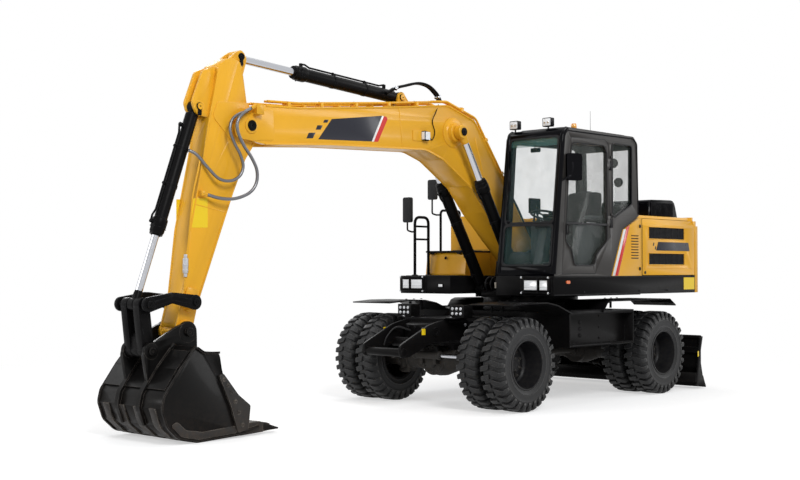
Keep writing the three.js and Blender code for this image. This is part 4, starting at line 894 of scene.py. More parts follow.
def makeWheel(joint, s, nodes):
    centre = jointPlace[joint].copy()
    centre.y = 0
    body = joint.replace("_spin", "")
    middles = [tyre["outerY"], tyre["outerY"] - tyre["spacing"]]
    bm = bmesh.new()
    for middle in middles:
        addLathe(bm, carcassProfile(s * middle), centre, axisY, 0, tyre["sides"], True)
    spacer = tile(0.264, -0.052, 0.292, 0.052)
    between = s * (middles[0] + middles[1]) / 2
    addLathe(bm, [(r, between + w) for r, w in spacer], centre, axisY, 1, 64, True)
    makePiece(f"{body}_tyres", bm, body, ["tyreRubber", "rimPaint"], 0, 2, [nodes[0]], 40)
    bm = bmesh.new()
    for middle in middles:
        addTreadPitch(bm, centre, s * middle)
    ringPiece(f"{body}_tread", bm, centre, axisY, tyre["blocks"], body, "tyreRubber", 0.0035)
    inner = tyre["outerY"] - tyre["spacing"] - tyre["width"] / 2 + 0.014
    outer = tyre["outerY"] + tyre["width"] / 2 - 0.014
    r, lip, disc = rimSize["radius"], rimSize["lip"], rimSize["discY"]
    profile = [(r, inner + 0.02), (lip, inner + 0.012), (lip, inner), (lip - 0.008, inner - 0.004),
        (r - 0.014, inner + 0.004), (r - 0.02, inner + 0.03), (r - 0.02, disc - 0.02),
        (0.215, disc - 0.022), (0.12, disc - 0.045), (0.105, 0.86), (0.062, 0.858), (0.062, 1.04),
        (0, 1.04), (0, 1.069), (0.03, 1.069), (0.034, 1.072), (0.078, 1.072), (0.084, 1.066), (0.087, 1.05),
        (0.1, 1.044), (0.105, 1.036), (0.106, disc - 0.006), (0.122, disc - 0.014), (0.138, disc - 0.006),
        (0.19, disc + 0.006), (0.212, disc + 0.002), (0.226, disc + 0.012), (r - 0.022, disc + 0.034),
        (r - 0.02, outer - 0.075), (r - 0.012, outer - 0.06), (r - 0.012, outer - 0.032),
        (r - 0.004, outer - 0.016), (r - 0.002, outer + 0.004), (lip - 0.006, outer + 0.0065),
        (lip, outer + 0.002), (lip, outer - 0.01), (r, outer - 0.018)]
    bm = bmesh.new()
    addLathe(bm, [(a, s * b) for a, b in profile], centre, axisY, 0, 72, True)
    addBar(bm, centre + Vector((0.2, s * (outer - 0.07), 0.118)),
        centre + Vector((0.206, s * (outer - 0.02), 0.121)), 0.006, 1, 10)
    makePiece(f"{body}_rim", bm, body, ["rimPaint", "castIron"], 0, 2, [nodes[1]], 32)
    bm = bmesh.new()
    stud = centre + Vector((0, s * disc, rimSize["studCircle"]))
    addBolt(bm, stud, (0, s, 0), 0.015, 0.018)
    addBar(bm, stud, stud + Vector((0, s * 0.03, 0)), 0.008, 0, 10)
    ringPiece(f"{body}_studs", bm, centre, axisY, rimSize["studs"], body, "castIron", 0)
    bm = bmesh.new()
    addBolt(bm, centre + Vector((0, s * 1.0715, rimSize["coverCircle"])), (0, s, 0), 0.01, 0.009)
    ringPiece(f"{body}_cover_bolts", bm, centre, axisY, rimSize["coverBolts"], body, "castIron", 0)


for end in ("front", "rear"):
    for side, s in sideSigns.items():
        makeWheel(f"wheel_{end}_{side}_spin", s, [f"tyres_{end}_{side}", f"rim_{end}_{side}"])
print("wheels made")


# undercarriage: frame, axles, steering, steps and the rear blade
def overBar(bm, x, z, y0, y1, radius):
    addBar(bm, at(x, y0, z), at(x, y1, z), radius, 0, 28, 0.004)


def boltRow(bm, start, end, count, axis, radius=0.012, height=0.01, mat=0):
    start, end = Vector(start), Vector(end)
    for k in range(count):
        share = k / max(1, count - 1)
        addBolt(bm, start.lerp(end, share), axis, radius, height, mat)


chassis = {"half": 0.29, "towX": 2.65, "towZ": 0.65}


def chassisDetail(bm):
    half = chassis["half"]
    overBar(bm, chassis["towX"], chassis["towZ"], -half - 0.012, half + 0.012, 0.0455)
    for s in (1, -1):
        # bolted bracket under the front fender plate, then plug, plate, strips and pin bosses on the flank
        addBox(bm, (1.62, s * 0.3, 1.0), (1.98, s * 0.44, 1.012))
        addBox(bm, (1.74, s * 0.3, 1.012), (1.9, s * 0.5, 1.15))
        boltRow(bm, at(1.78, s * 0.36, 1.012), at(1.95, s * 0.36, 1.012), 3, axisZ, 0.012, 0.01, 3)
        for z in (1.055, 1.11):
            boltRow(bm, at(1.902, s * 0.34, z), at(1.902, s * 0.46, z), 3, axisX, 0.012, 0.01, 3)
        addLathe(bm, [(0, 0), (0.045, 0), (0.05, 0.006), (0.05, 0.014), (0.026, 0.014), (0.024, 0.004),
            (0, 0.004)], at(2.13, s * half, 0.86), (0, s, 0), 0, 28)
        addSidePlate(bm, tile(2.3, 0.83, 2.36, 0.9, 0.01), s, half, 0.002, 2)
        for z in (0.74, 0.96):
            addSidePlate(bm, tile(-1.0, z - 0.006, 1.9, z + 0.006), s, half, 0.012)
        boltRow(bm, at(1.62, s * (half + 0.001), 0.8), at(1.62, s * (half + 0.001), 0.92), 2, (0, s, 0),
            0.013, 0.011, 3)
        overBar(bm, -1.4, 0.44, s * (half - 0.02), s * (half + 0.085), 0.046)
        overBar(bm, -1.56, 0.98, s * 0.14, s * 0.252, 0.03)
        # hoses along the spine
        for z, y in ((0.775, 0.302), (0.8, 0.306), (0.825, 0.302)):
            addTube(bm, smoothPath([at(-0.9, s * y, z), at(0.2, s * (y + 0.004), z + 0.012),
                at(1.2, s * y, z), at(1.55, s * (y - 0.03), z - 0.03)], 0.05), 0.009, 1, 10)
    # front valve cover and cross plate between the tow plates
    addPlate(bm, [(2.002, 0.74), (2.1, 0.74, 0.02), (2.1, 0.93, 0.03), (2.002, 0.96)], "y", -0.2, 0.2)
    boltRow(bm, at(2.101, -0.16, 0.77), at(2.101, 0.16, 0.77), 4, axisX)
    boltRow(bm, at(2.101, -0.16, 0.9), at(2.101, 0.16, 0.9), 4, axisX)
    addPlate(bm, [(-0.27, 0.69, 0.04), (0.27, 0.69, 0.04), (0.22, 0.79, 0.03), (-0.22, 0.79, 0.03)], "x",
        2.24, 2.262)
    for s in (1, -1):
        addTube(bm, smoothPath([at(2.09, s * 0.12, 0.86), at(2.24, s * 0.2, 0.9), at(2.36, s * 0.235, 0.8),
            at(2.4, s * 0.25, 0.7)], 0.02), 0.01, 1, 12)
    ringProfile = [(0.545, 1.052), (0.6, 1.052), (0.6, 1.078), (0.592, 1.084), (0.592, 1.118), (0.6, 1.124),
        (0.6, 1.146), (0.545, 1.146)]
    addLathe(bm, ringProfile, at(0, 0, 0), axisZ, 0, 96, True)


refinedNode("chassis_frame", "undercarriage", "blackPaint", 0.006, chassisDetail,
    ("rubberHose", "brightYellow", "zincPlate"))
lowBolt = bmesh.new()
addBolt(lowBolt, at(0.585, 0, 1.052), (0, 0, -1), 0.011, 0.01)
ringPiece("slew_ring_bolts", lowBolt, at(0, 0, 0), axisZ, 36, "undercarriage", "castIron", 0)


axleSize = {"end": 0.45, "x": {"front": 1.7, "rear": -1.1}}


def axleDetail(bm, end):
    x, z = axleSize["x"][end], jointPlace[f"wheel_{end}_left_spin"].z
    bulge = [(0, -0.3), (0.112, -0.3), (0.118, -0.26), (0.15, -0.17), (0.178, -0.09), (0.186, 0.0),
        (0.178, 0.09), (0.15, 0.17), (0.118, 0.26), (0.112, 0.3), (0, 0.3)]
    addLathe(bm, bulge, at(x, 0, z), axisY, 0, 40)
    addLathe(bm, [(0, -0.155), (0.166, -0.155), (0.172, -0.148), (0.172, 0.148), (0.166, 0.155),
        (0, 0.155)], at(x, 0, z), axisX, 0, 40)
    addLathe(bm, [(0, 0.15), (0.095, 0.15), (0.082, 0.205), (0.05, 0.215), (0, 0.215)], at(x, 0, z),
        (1 if end == "front" else -1, 0, 0), 0, 32)
    for s in (1, -1):
        reach = axleSize["end"] if end == "front" else 0.56
        addLathe(bm, [(0.104, 0.28), (0.112, 0.29), (0.11, reach - 0.03), (0.128, reach - 0.02),
            (0.128, reach), (0.104, reach)], at(x, 0, z), (0, s, 0), 0, 36, True)
        addPlate(bm, [(x - 0.1, z + 0.075), (x + 0.1, z + 0.075), (x + 0.085, z + 0.122),
            (x - 0.085, z + 0.122)], "y", s * 0.18, s * 0.29)
        for dx in (-0.085, 0.085):
            boltRow(bm, at(x + dx, s * 0.205, z + 0.1), at(x + dx, s * 0.265, z + 0.1), 2, (0, 0, -1),
                0.014, 0.012)
        if end == "front":
            for level, sign in ((z + 0.157, 1), (z - 0.157, -1)):
                addDisc(bm, (0.058, 0.01, 0.05, 0.016), at(x, s * 0.56, level), (0, 0, sign), 0, 32)
        else:
            addLathe(bm, [(0, 0.54), (0.134, 0.54), (0.14, 0.548), (0.14, 0.604), (0.128, 0.624),
                (0.1, 0.632), (0.096, 0.8), (0, 0.8)], at(x, 0, z), (0, s, 0), 0, 40)
    if end == "front":
        addLathe(bm, [(0.0235, -0.2), (0.046, -0.2), (0.05, -0.194), (0.05, -0.165), (0.0445, -0.16),
            (0.0445, 0.16), (0.05, 0.165), (0.05, 0.194), (0.046, 0.2), (0.0235, 0.2)],
            at(1.94, 0, z + 0.063), axisY, 0, 36, True)
        for s in (1, -1):
            addTube(bm, smoothPath([at(1.94, s * 0.15, z + 0.105), at(1.93, s * 0.14, z + 0.16),
                at(1.86, s * 0.11, z + 0.19), at(1.8, s * 0.08, z + 0.17)], 0.02), 0.008, 1, 10)


for end in ("front", "rear"):
    refinedNode(f"{end}_axle", "undercarriage", "castIron", 0.006,
        lambda bm: axleDetail(bm, end), ("rubberHose",))
    x, z = axleSize["x"][end], jointPlace[f"wheel_{end}_left_spin"].z
    cover = bmesh.new()
    face = 0.155 if end == "front" else -0.155
    addBolt(cover, at(x + face, 0, z + 0.14), (1 if face > 0 else -1, 0, 0), 0.01, 0.01)
    ringPiece(f"{end}_axle_cover_bolts", cover, at(x, 0, z), axisX, 12, "undercarriage", "castIron", 0)


def driveDetail(bm):
    z = jointPlace["wheel_front_left_spin"].z
    addLathe(bm, [(0, -0.93), (0.07, -0.93), (0.072, -0.9), (0.048, -0.86), (0.048, -0.17), (0.06, -0.15),
        (0, -0.15)], at(0, 0, z), axisX, 0, 32)
    addLathe(bm, [(0, 0.35), (0.06, 0.35), (0.06, 0.38), (0.048, 0.4), (0.048, 1.46), (0.072, 1.5),
        (0.078, 1.548), (0, 1.548)], at(0, 0, z), axisX, 0, 32)
    for x in (-0.86, 0.42, 1.43):
        for axis in (axisY, axisZ):
            side = Vector(axis) * 0.072
            addBar(bm, at(x, 0, z) - side, at(x, 0, z) + side, 0.02, 0, 16)
    for x in (-0.1, 0.0, 0.1, 0.2, 0.3):
        addBox(bm, (x, -0.176, z - 0.1), (x + 0.018, 0.176, 0.69))


refinedNode("drive_line", "undercarriage", "castIron", 0.006, driveDetail)


def knuckleDetail(bm, s):
    z = jointPlace["wheel_front_left_spin"].z
    addLathe(bm, [(0, -0.12), (0.06, -0.12), (0.07, -0.108), (0.07, -0.03), (0.078, 0.0), (0.07, 0.03),
        (0.07, 0.108), (0.06, 0.12), (0, 0.12)], at(1.7, s * 0.56, z), axisZ, 0, 36)
    addLathe(bm, [(0, 0.02), (0.095, 0.02), (0.105, 0.035), (0.105, 0.085), (0.092, 0.1), (0.092, 0.2965),
        (0, 0.2965)], at(1.7, s * 0.56, z), (0, s, 0), 0, 40)


for side, s in sideSigns.items():
    refinedNode(f"knuckle_{side}", f"knuckle_{side}", "castIron", 0.005,
        lambda bm: knuckleDetail(bm, s))

rodBm = bmesh.new()
rodZ = jointPlace["wheel_front_left_spin"].z + 0.063
addBar(rodBm, at(1.94, -0.5, rodZ), at(1.94, 0.5, rodZ), 0.022, 0, 28)
for s in (1, -1):
    addBar(rodBm, at(1.94, s * 0.52, rodZ - 0.026), at(1.94, s * 0.52, rodZ + 0.024), 0.03, 1, 24)
    addBar(rodBm, at(1.94, s * 0.47, rodZ), at(1.94, s * 0.505, rodZ), 0.028, 1, 6)
makePiece("steering_rod_finish", rodBm, "steering_rod", ["chrome", "castIron"], 0, 2, ["steering_rod"])


stepSize = {"top": 1.07, "bottom": 0.66, "outer": 1.2, "front": 0.86, "rear": 0.02}


def stepDetail(bm, s):
    size = stepSize
    face = 1.08
    for dz in (-0.075, 0.0, 0.075):
        addLathe(bm, tile(0.012, 0, 0.026, 0.004), at(0.48, s * (face + 0.001), 0.86 + dz), (0, s, 0), 0,
            20, True)
        addBar(bm, at(0.48, s * (face - 0.002), 0.86 + dz), at(0.48, s * (face + 0.001), 0.86 + dz), 0.012,
            1, 20)
    boltRow(bm, at(0.09, s * face, 0.74), at(0.09, s * face, 1.0), 3, (0, s, 0), 0.01, 0.007)
    boltRow(bm, at(0.8, s * face, 0.74), at(0.8, s * face, 1.0), 3, (0, s, 0), 0.01, 0.007)
    for z in (size["top"] - 0.02, size["bottom"] + 0.015):
        addBar(bm, at(size["rear"], s * (size["outer"] - 0.004), z),
            at(size["front"], s * (size["outer"] - 0.004), z), 0.008, 0, 12)
    # bolted stays from the frame to both fender plates
    for x in (1.35, 1.55, -0.7, -0.85):
        addPlate(bm, tile(x - 0.02, 1.065, x + 0.02, 1.168), "y", s * 0.62, s * 0.63)
    boltRow(bm, at(1.25, s * 0.72, 1.191), at(1.52, s * 0.72, 1.191), 3, axisZ, 0.012, 0.008)
    boltRow(bm, at(-0.58, s * 0.72, 1.191), at(-0.85, s * 0.72, 1.191), 3, axisZ, 0.012, 0.008)


for side, s in sideSigns.items():
    refinedNode(f"side_step_{side}", "undercarriage", "blackPaint", 0.004,
        lambda bm: stepDetail(bm, s), ("trimPlastic",))
    teeth = bmesh.new()
    addPlate(teeth, [(0.026, 1.07), (0.042, 1.07), (0.038, 1.084), (0.03, 1.084)], "y", s * 1.18, s * 1.2)
    addPlate(teeth, [(0.026, 1.07), (0.042, 1.07), (0.038, 1.082), (0.03, 1.082)], "y", s * 1.09, s * 1.1)
    addPlate(teeth, [(0.026, 0.66), (0.042, 0.66), (0.038, 0.704), (0.03, 0.704)], "y", s * 1.184, s * 1.2)
    rowPiece(f"step_teeth_{side}", teeth, (0.0262, 0, 0), 31, "undercarriage", "blackPaint", 0)


blade = {"half": 1.25}


def bladeDetail(bm):
    half = blade["half"]
    # bolted cutting edge along the foot of the mouldboard
    addPlate(bm, [(-2.143, 0.012), (-2.128, 0.012), (-2.054, 0.158), (-2.07, 0.166)], "y", -half + 0.002,
        half - 0.002, 1)
    for k in range(10):
        y = -half + 0.14 + k * (2 * half - 0.28) / 9
        addBolt(bm, at(-2.103, y, 0.1), (-0.88, 0, 0.47), 0.014, 0.004, 1)
    # rolled top edge and ribs on the back, with plates and pin bosses at the sides
    addBar(bm, at(-2.022, -half + 0.01, 0.672), at(-2.022, half - 0.01, 0.672), 0.022, 0, 20)
    for y in (-0.95, -0.62, 0.62, 0.95):
        addPlate(bm, [(-2.005, 0.1), (-1.9, 0.1), (-1.945, 0.4), (-1.975, 0.62), (-2.03, 0.62),
            (-1.99, 0.42)], "y", y - 0.008, y + 0.008)
    for s in (1, -1):
        addPlate(bm, tile(-1.955, 0.42, -1.925, 0.49, 0.008), "y", s * (half - 0.001), s * (half + 0.0015),
            2)
        addLathe(bm, [(0.033, 0), (0.06, 0), (0.066, 0.006), (0.066, 0.052), (0.06, 0.058), (0.033, 0.058)],
            at(-1.4, s * 0.293, 0.44), (0, s, 0), 0, 32, True)
        addBar(bm, at(-1.4, s * 0.34, 0.44), at(-1.4, s * 0.372, 0.44), 0.044, 0, 28)
        overBar(bm, -1.75, 0.3, s * 0.14, s * 0.25, 0.03)


refinedNode("dozer_blade", "dozer_blade", "blackPaint", 0.005, bladeDetail,
    ("wornSteel", "brightYellow"))
print("undercarriage made")


# hydraulic cylinders: barrel with gland, collar, ports and hard line, chromed rod with its eye
def makeBarrel(name, size, foot, eye, ys, body, nodes):
    bm = bmesh.new()
    r, length = size["barrel"], size["length"]
    along = (eye - foot).normalized()
    side = along.cross(Vector(axisY)) * size.get("portSide", 1)
    for y in ys:
        base = foot + Vector((0, y, 0))
        start = size["eye"] + 0.02
        profile = [(0, start - 0.035), (size["eyeWidth"] * 0.44, start - 0.035),
            (size["eyeWidth"] * 0.47, start - 0.006), (r * 0.97, start + 0.002), (r, start + 0.008),
            (r, length - 0.165), (r * 1.13, length - 0.155), (r * 1.17, length - 0.145),
            (r * 1.17, length - 0.075), (r * 1.1, length - 0.068), (r * 1.1, length - 0.03),
            (r * 1.02, length - 0.022), (r * 0.98, length), (size["rod"] * 1.3, length),
            (size["rod"] * 1.22, length + 0.01), (size["rod"] * 1.03, length + 0.012),
            (size["rod"] * 1.03, length - 0.05), (0, length - 0.05)]
        addLathe(bm, profile, base, along, 0, 48)
        # cast foot eye with its bush
        half = size["eyeWidth"] / 2
        addLathe(bm, [(size["pin"], -half), (size["eye"] - 0.006, -half), (size["eye"], -half + 0.006),
            (size["eye"], half - 0.006), (size["eye"] - 0.006, half), (size["pin"], half)], base, axisY, 0,
            40, True)
        for turn in range(8):
            angle = 2 * math.pi * (turn + 0.5) / 8
            out = side * math.cos(angle) + Vector(axisY) * math.sin(angle)
            addBolt(bm, base + along * (length - 0.07) + out * r * 1.135 * 0.96, along, 0.0085, 0.006)
        # two ports joined to hard lines that run along the barrel
        for spot, lift in ((start + 0.14, 0.03), (length - 0.105, 0.03)):
            spotPlace = base + along * spot
            addBar(bm, spotPlace + side * r * 0.85, spotPlace + side * (r * 1.17 + lift), 0.02, 0, 20)
        line = [base + along * (length - 0.105) + side * (r * 1.17 + 0.022),
            base + along * (length - 0.16) + side * (r * 1.17 + 0.026),
            base + along * (length - 0.22) + side * (r + 0.017),
            base + along * (start + 0.22) + side * (r + 0.017),
            base + along * (start + 0.14) + side * (r + 0.04)]
        addTube(bm, bentPath(line, 0.03), 0.01, 0, 12)
        for share in (0.35, 0.72):
            band = base + along * (start + share * (length - start - 0.2))
            addLathe(bm, tile(r, -0.014, r + 0.004, 0.014), band, along, 0, 40, True)
            addBar(bm, band + side * r, band + side * (r + 0.03), 0.014, 0, 12)
    makePiece(name, bm, body, ["blackPaint", "castIron"], 0, 2, nodes, 32)


def makeRod(name, size, foot, eye, ys, body, nodes, eyeFinish):
    bm = bmesh.new()
    along = (eye - foot).normalized()
    reach = (eye - foot).length
    for y in ys:
        base = foot + Vector((0, y, 0))
        tip = eye + Vector((0, y, 0))
        profile = [(0, reach - size["rodLength"]), (size["rod"], reach - size["rodLength"]),
            (size["rod"], reach - size["rodEye"] - 0.045)]
        addLathe(bm, [*profile, (0, reach - size["rodEye"] - 0.045)], base, along, 0, 40)
        collar = size.get("neck", 0.07)
        neck = [(0, reach - size["rodEye"] - collar), (size["rod"] * 1.02,
            reach - size["rodEye"] - collar + 0.004), (size["rod"] * 1.16,
            reach - size["rodEye"] - collar * 0.6), (size["rod"] * 1.25, reach - size["rodEye"] * 0.6),
            (0, reach - size["rodEye"] * 0.5)]
        addLathe(bm, neck, base, along, 1, 36)
        half = size["rodEyeWidth"] / 2
        addLathe(bm, [(0, -half), (size["rodEye"] - 0.007, -half), (size["rodEye"], -half + 0.007),
            (size["rodEye"], half - 0.007), (size["rodEye"] - 0.007, half), (0, half)], tip, axisY, 1, 44)
        if size.get("cap"):
            outward = math.copysign(1, y) if y else 1
            for way in ((outward,) if y else (1, -1)):
                addLathe(bm, [(0, half), (size["cap"], half), (size["cap"], half + 0.01),
                    (size["cap"] * 0.86, half + 0.016), (0, half + 0.016)], tip, (0, way, 0), 2, 32)
                addBolt(bm, tip + Vector((0, way * (half + 0.015), 0)), (0, way, 0), 0.012, 0.008, 2)
    makePiece(name, bm, body, ["chrome", eyeFinish, "blackPaint"], 0, 2, nodes, 32)


cylinders = {
    "boom": {"barrel": 0.068, "rod": 0.04, "length": 1.49, "rodLength": 1.08, "eye": 0.07, "eyeWidth": 0.08,
        "pin": 0.0355, "rodEye": 0.078, "rodEyeWidth": 0.088, "cap": 0.046, "eyeAt": (1.7, 0, 3.12),
        "ys": (0.3, -0.3), "nodes": ("_left", "_right"), "finish": "yellowPaint", "portSide": -1},
    "stick": {"barrel": 0.068, "rod": 0.04, "length": 1.56, "rodLength": 1.4, "eye": 0.062,
        "eyeWidth": 0.09, "pin": 0.0355, "rodEye": 0.063, "rodEyeWidth": 0.088, "cap": 0,
        "eyeAt": (4.754, 0, 3.616), "ys": (0,), "nodes": ("",), "finish": "yellowPaint", "neck": 0.05},
    "bucket": {"barrel": 0.062, "rod": 0.035, "length": 1.29, "rodLength": 1.29, "eye": 0.058,
        "eyeWidth": 0.084, "pin": 0.0325, "rodEye": 0.061, "rodEyeWidth": 0.084, "cap": 0,
        "eyeAt": (5.9, 0, 1.235), "ys": (0,), "nodes": ("",), "finish": "blackPaint"},
    "blade": {"barrel": 0.046, "rod": 0.025, "length": 0.43, "rodLength": 0.44, "eye": 0.042,
        "eyeWidth": 0.06, "pin": 0.0225, "rodEye": 0.041, "rodEyeWidth": 0.06, "cap": 0,
        "eyeAt": (-1.75, 0, 0.3), "ys": (0.195, -0.195), "nodes": ("_left", "_right"),
        "finish": "blackPaint", "neck": 0.035},
}
for kind, size in cylinders.items():
    foot, eye = jointPlace[f"{kind}_cylinder_barrel_pivot"], at(*size["eyeAt"])
    makeBarrel(f"{kind}_barrels", size, foot, eye, size["ys"], f"{kind}_cylinder_barrel",
        [f"{kind}_cylinder_barrel{end}" for end in size["nodes"]])
    makeRod(f"{kind}_rods", size, foot, eye, size["ys"], f"{kind}_cylinder_rod",
        [f"{kind}_cylinder_rod{end}" for end in size["nodes"]], size["finish"])
print("cylinders made")


# upper structure: platform, counterweight, panels, doors, hood, tank, rails and lamps
def paintFaces(bm, test, mat):
    for face in bm.faces:
        if test(face.calc_center_median(), face.normal):
            face.material_index = mat


def addLamp(bm, low, high, axis, glass=1, depth=0.006):
    # a box lamp with a bezel and a lens on the face that looks along the axis
    addBox(bm, low, high)
    (x0, y0, z0), (x1, y1, z1) = low, high
    m = 0.01
    if axis == "x":
        addBox(bm, (x1 - 0.002, y0 + m, z0 + m), (x1 + depth, y1 - m, z1 - m), glass)
    elif axis == "-x":
        addBox(bm, (x0 - depth, y0 + m, z0 + m), (x0 + 0.002, y1 - m, z1 - m), glass)
    else:
        face = y1 if axis == "y" else y0
        way = 1 if axis == "y" else -1
        addBox(bm, (x0 + m, face, z0 + m), (x1 - m, face + way * depth, z1 - m), glass)


platform = {"lampZ": (1.296, 1.45), "frontLeft": 1.215, "frontRight": 1.06}


def platformDetail(bm):
    size = platform
    for s, front, y0, y1 in ((1, size["frontLeft"], 0.825, 1.199), (-1, size["frontRight"], -1.199,
            -0.825)):
        low, high = size["lampZ"]
        middle = y0 + 0.6 * (y1 - y0) if s > 0 else y0 + 0.4 * (y1 - y0)
        addPlate(bm, tile(y0 - 0.015, low - 0.015, y1 + 0.015, high + 0.015, 0.02), "x", front,
            front + 0.01)
        for a, b in ((y0 + 0.018, middle - 0.01), (middle + 0.01, y1 - 0.018)):
            addLamp(bm, (front + 0.008, a, low + 0.014), (front + 0.034, b, high - 0.014), "x", 1, 0.003)
            for z in (low + 0.052, low + 0.1):
                addBox(bm, (front + 0.036, a + 0.01, z), (front + 0.0385, b - 0.01, z + 0.004), 2)
        for y in (y0, middle, y1):
            addBar(bm, at(front + 0.052, y, low - 0.012), at(front + 0.052, y, high + 0.012), 0.006, 0, 12)
        for z in (low - 0.01, high + 0.01):
            addBar(bm, at(front + 0.052, y0 - 0.012, z), at(front + 0.052, y1 + 0.012, z), 0.006, 0, 12)
            for y in (y0, y1):
                addBar(bm, at(front + 0.004, y, z), at(front + 0.052, y, z), 0.005, 0, 10)
                addBolt(bm, at(front + 0.054, y, z), axisX, 0.009, 0.008, 2)
    addLamp(bm, (1.06, -0.6, 1.33), (1.078, -0.52, 1.38), "x", 1, 0.004)
    # deck lip, foot rail, bolts, side lamp and a blank plate on each flank
    for s in (1, -1):
        front = size["frontLeft"] if s > 0 else size["frontRight"]
        addBox(bm, (-1.876, s * 1.238, 1.458), (front - 0.01, s * 1.244, 1.473))
        addBox(bm, (-1.876, s * 1.238, 1.256), (front - 0.01, s * 1.243, 1.268))
        for x in (-1.2, -0.55, 0.1, 0.62):
            addBolt(bm, at(x, s * 1.24, 1.29), (0, s, 0), 0.008, 0.006)
        addPlate(bm, tile(0.915, 1.39, 0.985, 1.424, 0.017), "y", s * 1.238, s * 1.252, 3)
        addPlate(bm, tile(-1.866, 1.296, -1.6, 1.45, 0.01), "y", s * 1.238, s * 1.2415, 4)
    # pins that carry the boom and its cylinders, smooth and capped
    for s in (1, -1):
        for x, z, radius, low, high in ((0.27, 1.7, 0.06, 0.205, 0.246), (0.58, 1.32, 0.048, 0.352, 0.372)):
            addLathe(bm, [(0, low), (radius, low), (radius, high - 0.006), (radius - 0.006, high),
                (0, high)], at(x, 0, z), (0, s, 0), 0, 36)
        addBolt(bm, at(0.27, s * 0.246, 1.735), (0, s, 0), 0.01, 0.008)
        addPlate(bm, tile(0.225, 1.6, 0.315, 1.65, 0.01), "y", s * 0.219, s * 0.232)
        boltRow(bm, at(0.245, s * 0.232, 1.625), at(0.295, s * 0.232, 1.625), 2, (0, s, 0), 0.009, 0.007)
    # swivel hoses and valve bank between the wings in front of the boom foot
    for k in range(5):
        y = -0.16 + 0.08 * k
        hose = [at(0.66, y, 1.295), at(0.7, y, 1.37), at(0.665, y, 1.435), at(0.6, y, 1.455),
            at(0.54, y, 1.42), at(0.5, y, 1.39)]
        addTube(bm, smoothPath(hose, 0.03), 0.013, 5, 10)
        if k > 1:
            addBar(bm, at(0.688, y, 1.325), at(0.698, y, 1.395), 0.018, 6, 14)
    addBox(bm, (0.4, -0.17, 1.29), (0.5, 0.17, 1.43))
    for k in range(6):
        addBar(bm, at(0.5, -0.14 + 0.055 * k, 1.39), at(0.55, -0.14 + 0.055 * k, 1.39), 0.018, 0, 16)


refinedNode("upper_frame", "upper_structure", "blackPaint", 0.005, platformDetail,
    ("lampLens", "zincPlate", "orangeLens", "brightYellow", "rubberHose", "hoseSleeve"))
anti = bmesh.new()
addBox(anti, (0.665, -1.2, 1.475), (0.672, -0.6, 1.4785))
rowPiece("deck_tread_right", anti, (0.024, 0, 0), 15, "upper_structure", "castIron", 0)


def counterweightDetail(bm):
    # lifting eyes, rear lamps, a latch, and a black strip that is painted shade in place of a groove
    for s in (1, -1):
        y = s * 0.62
        eye = [at(-1.98, y, 2.222), at(-1.98, y, 2.262), at(-1.99, y, 2.29), at(-2.03, y, 2.3),
            at(-2.07, y, 2.29), at(-2.08, y, 2.262), at(-2.08, y, 2.222)]
        addTube(bm, smoothPath(eye, 0.01), 0.014, 0, 14)
        y0, y1 = sorted((s * 0.22, s * 0.46))
        addLamp(bm, (-2.208, y0, 1.42), (-2.19, y1, 1.53), "-x", 2, 0.004)
        y0, y1 = sorted((s * 0.22, s * 0.28))
        addBox(bm, (-2.214, y0 + 0.01, 1.43), (-2.206, y1 - 0.005, 1.52), 3)
    addBox(bm, (-2.206, -0.02, 2.02), (-2.19, 0.02, 2.06), 1)
    addBar(bm, at(-2.222, 0, 2.04), at(-2.204, 0, 2.04), 0.013, 1, 20)
    # a black strip across the back: painted shade where a groove would be
    addPlate(bm, tile(-0.3, 1.66, 0.3, 1.8, 0.01), "x", -2.2015, -2.198, 1)


refinedNode("counterweight", "upper_structure", "yellowPaint", 0.01, counterweightDetail,
    ("trimPlastic", "redStripe", "orangeLens"))


def slanted(x0, z0, x1, z1, width0, width1, y, s, mat, bm):
    addSidePlate(bm, [(x0, z0), (x0 - width0, z0), (x1 - width1, z1), (x1, z1)], s, y, 0.0012, mat)


stripe = {"foot": (0.038, 1.478), "head": (-0.205, 2.03), "white": 0.052, "red": 0.068}


def panelDetail(bm):
    (x0, z0), (x1, z1) = stripe["foot"], stripe["head"]
    white, red = stripe["white"], stripe["red"]
    slanted(x0, z0, x1, z1 + 0.006, white, white * 1.1, 1.24, 1, 1, bm)
    addPlate(bm, [(x0 - white, z0), (x0 - white - red, z0), (x1 - white * 1.1 - red * 1.15, z1 + 0.058),
        (x1 - white * 1.1, z1 + 0.027)], "y", 1.24, 1.2412, 2)
    for z in (1.56, 2.08):
        addLathe(bm, [(0, 0), (0.022, 0), (0.022, 0.004), (0.018, 0.006), (0.01, 0.006), (0.009, 0.002),
            (0, 0.002)], at(-0.565 if z > 2 else -0.56, 1.24, z), axisY, 3, 28)
    addBox(bm, (-0.612, 1.2385, 1.48), (-0.606, 1.2412, 2.175), 3)


refinedNode("left_body_panel", "upper_structure", "yellowPaint", 0.006, panelDetail,
    ("whiteStripe", "redStripe", "trimPlastic"))
louvre = bmesh.new()
addPlate(louvre, tile(-0.53, 1.683, -0.37, 1.701, 0.009), "y", 1.239, 1.2413)
rowPiece("louvre_slots", louvre, (0.0, 0, 0.034), 9, "upper_structure", "trimPlastic", 0)
hoodlet = bmesh.new()
addPlate(hoodlet, [(1.24, 1.711), (1.24, 1.693), (1.2475, 1.698), (1.2475, 1.704)], "x", -0.535, -0.365)
rowPiece("louvre_lips", hoodlet, (0.0, 0, 0.034), 9, "upper_structure", "yellowPaint", 0.001)

doorSize = {"slots": ((-1.617, -0.767),), "rows": ((1.615, 1.75), (1.935, 2.075)), "face": 1.24,
    "depth": 0.018}


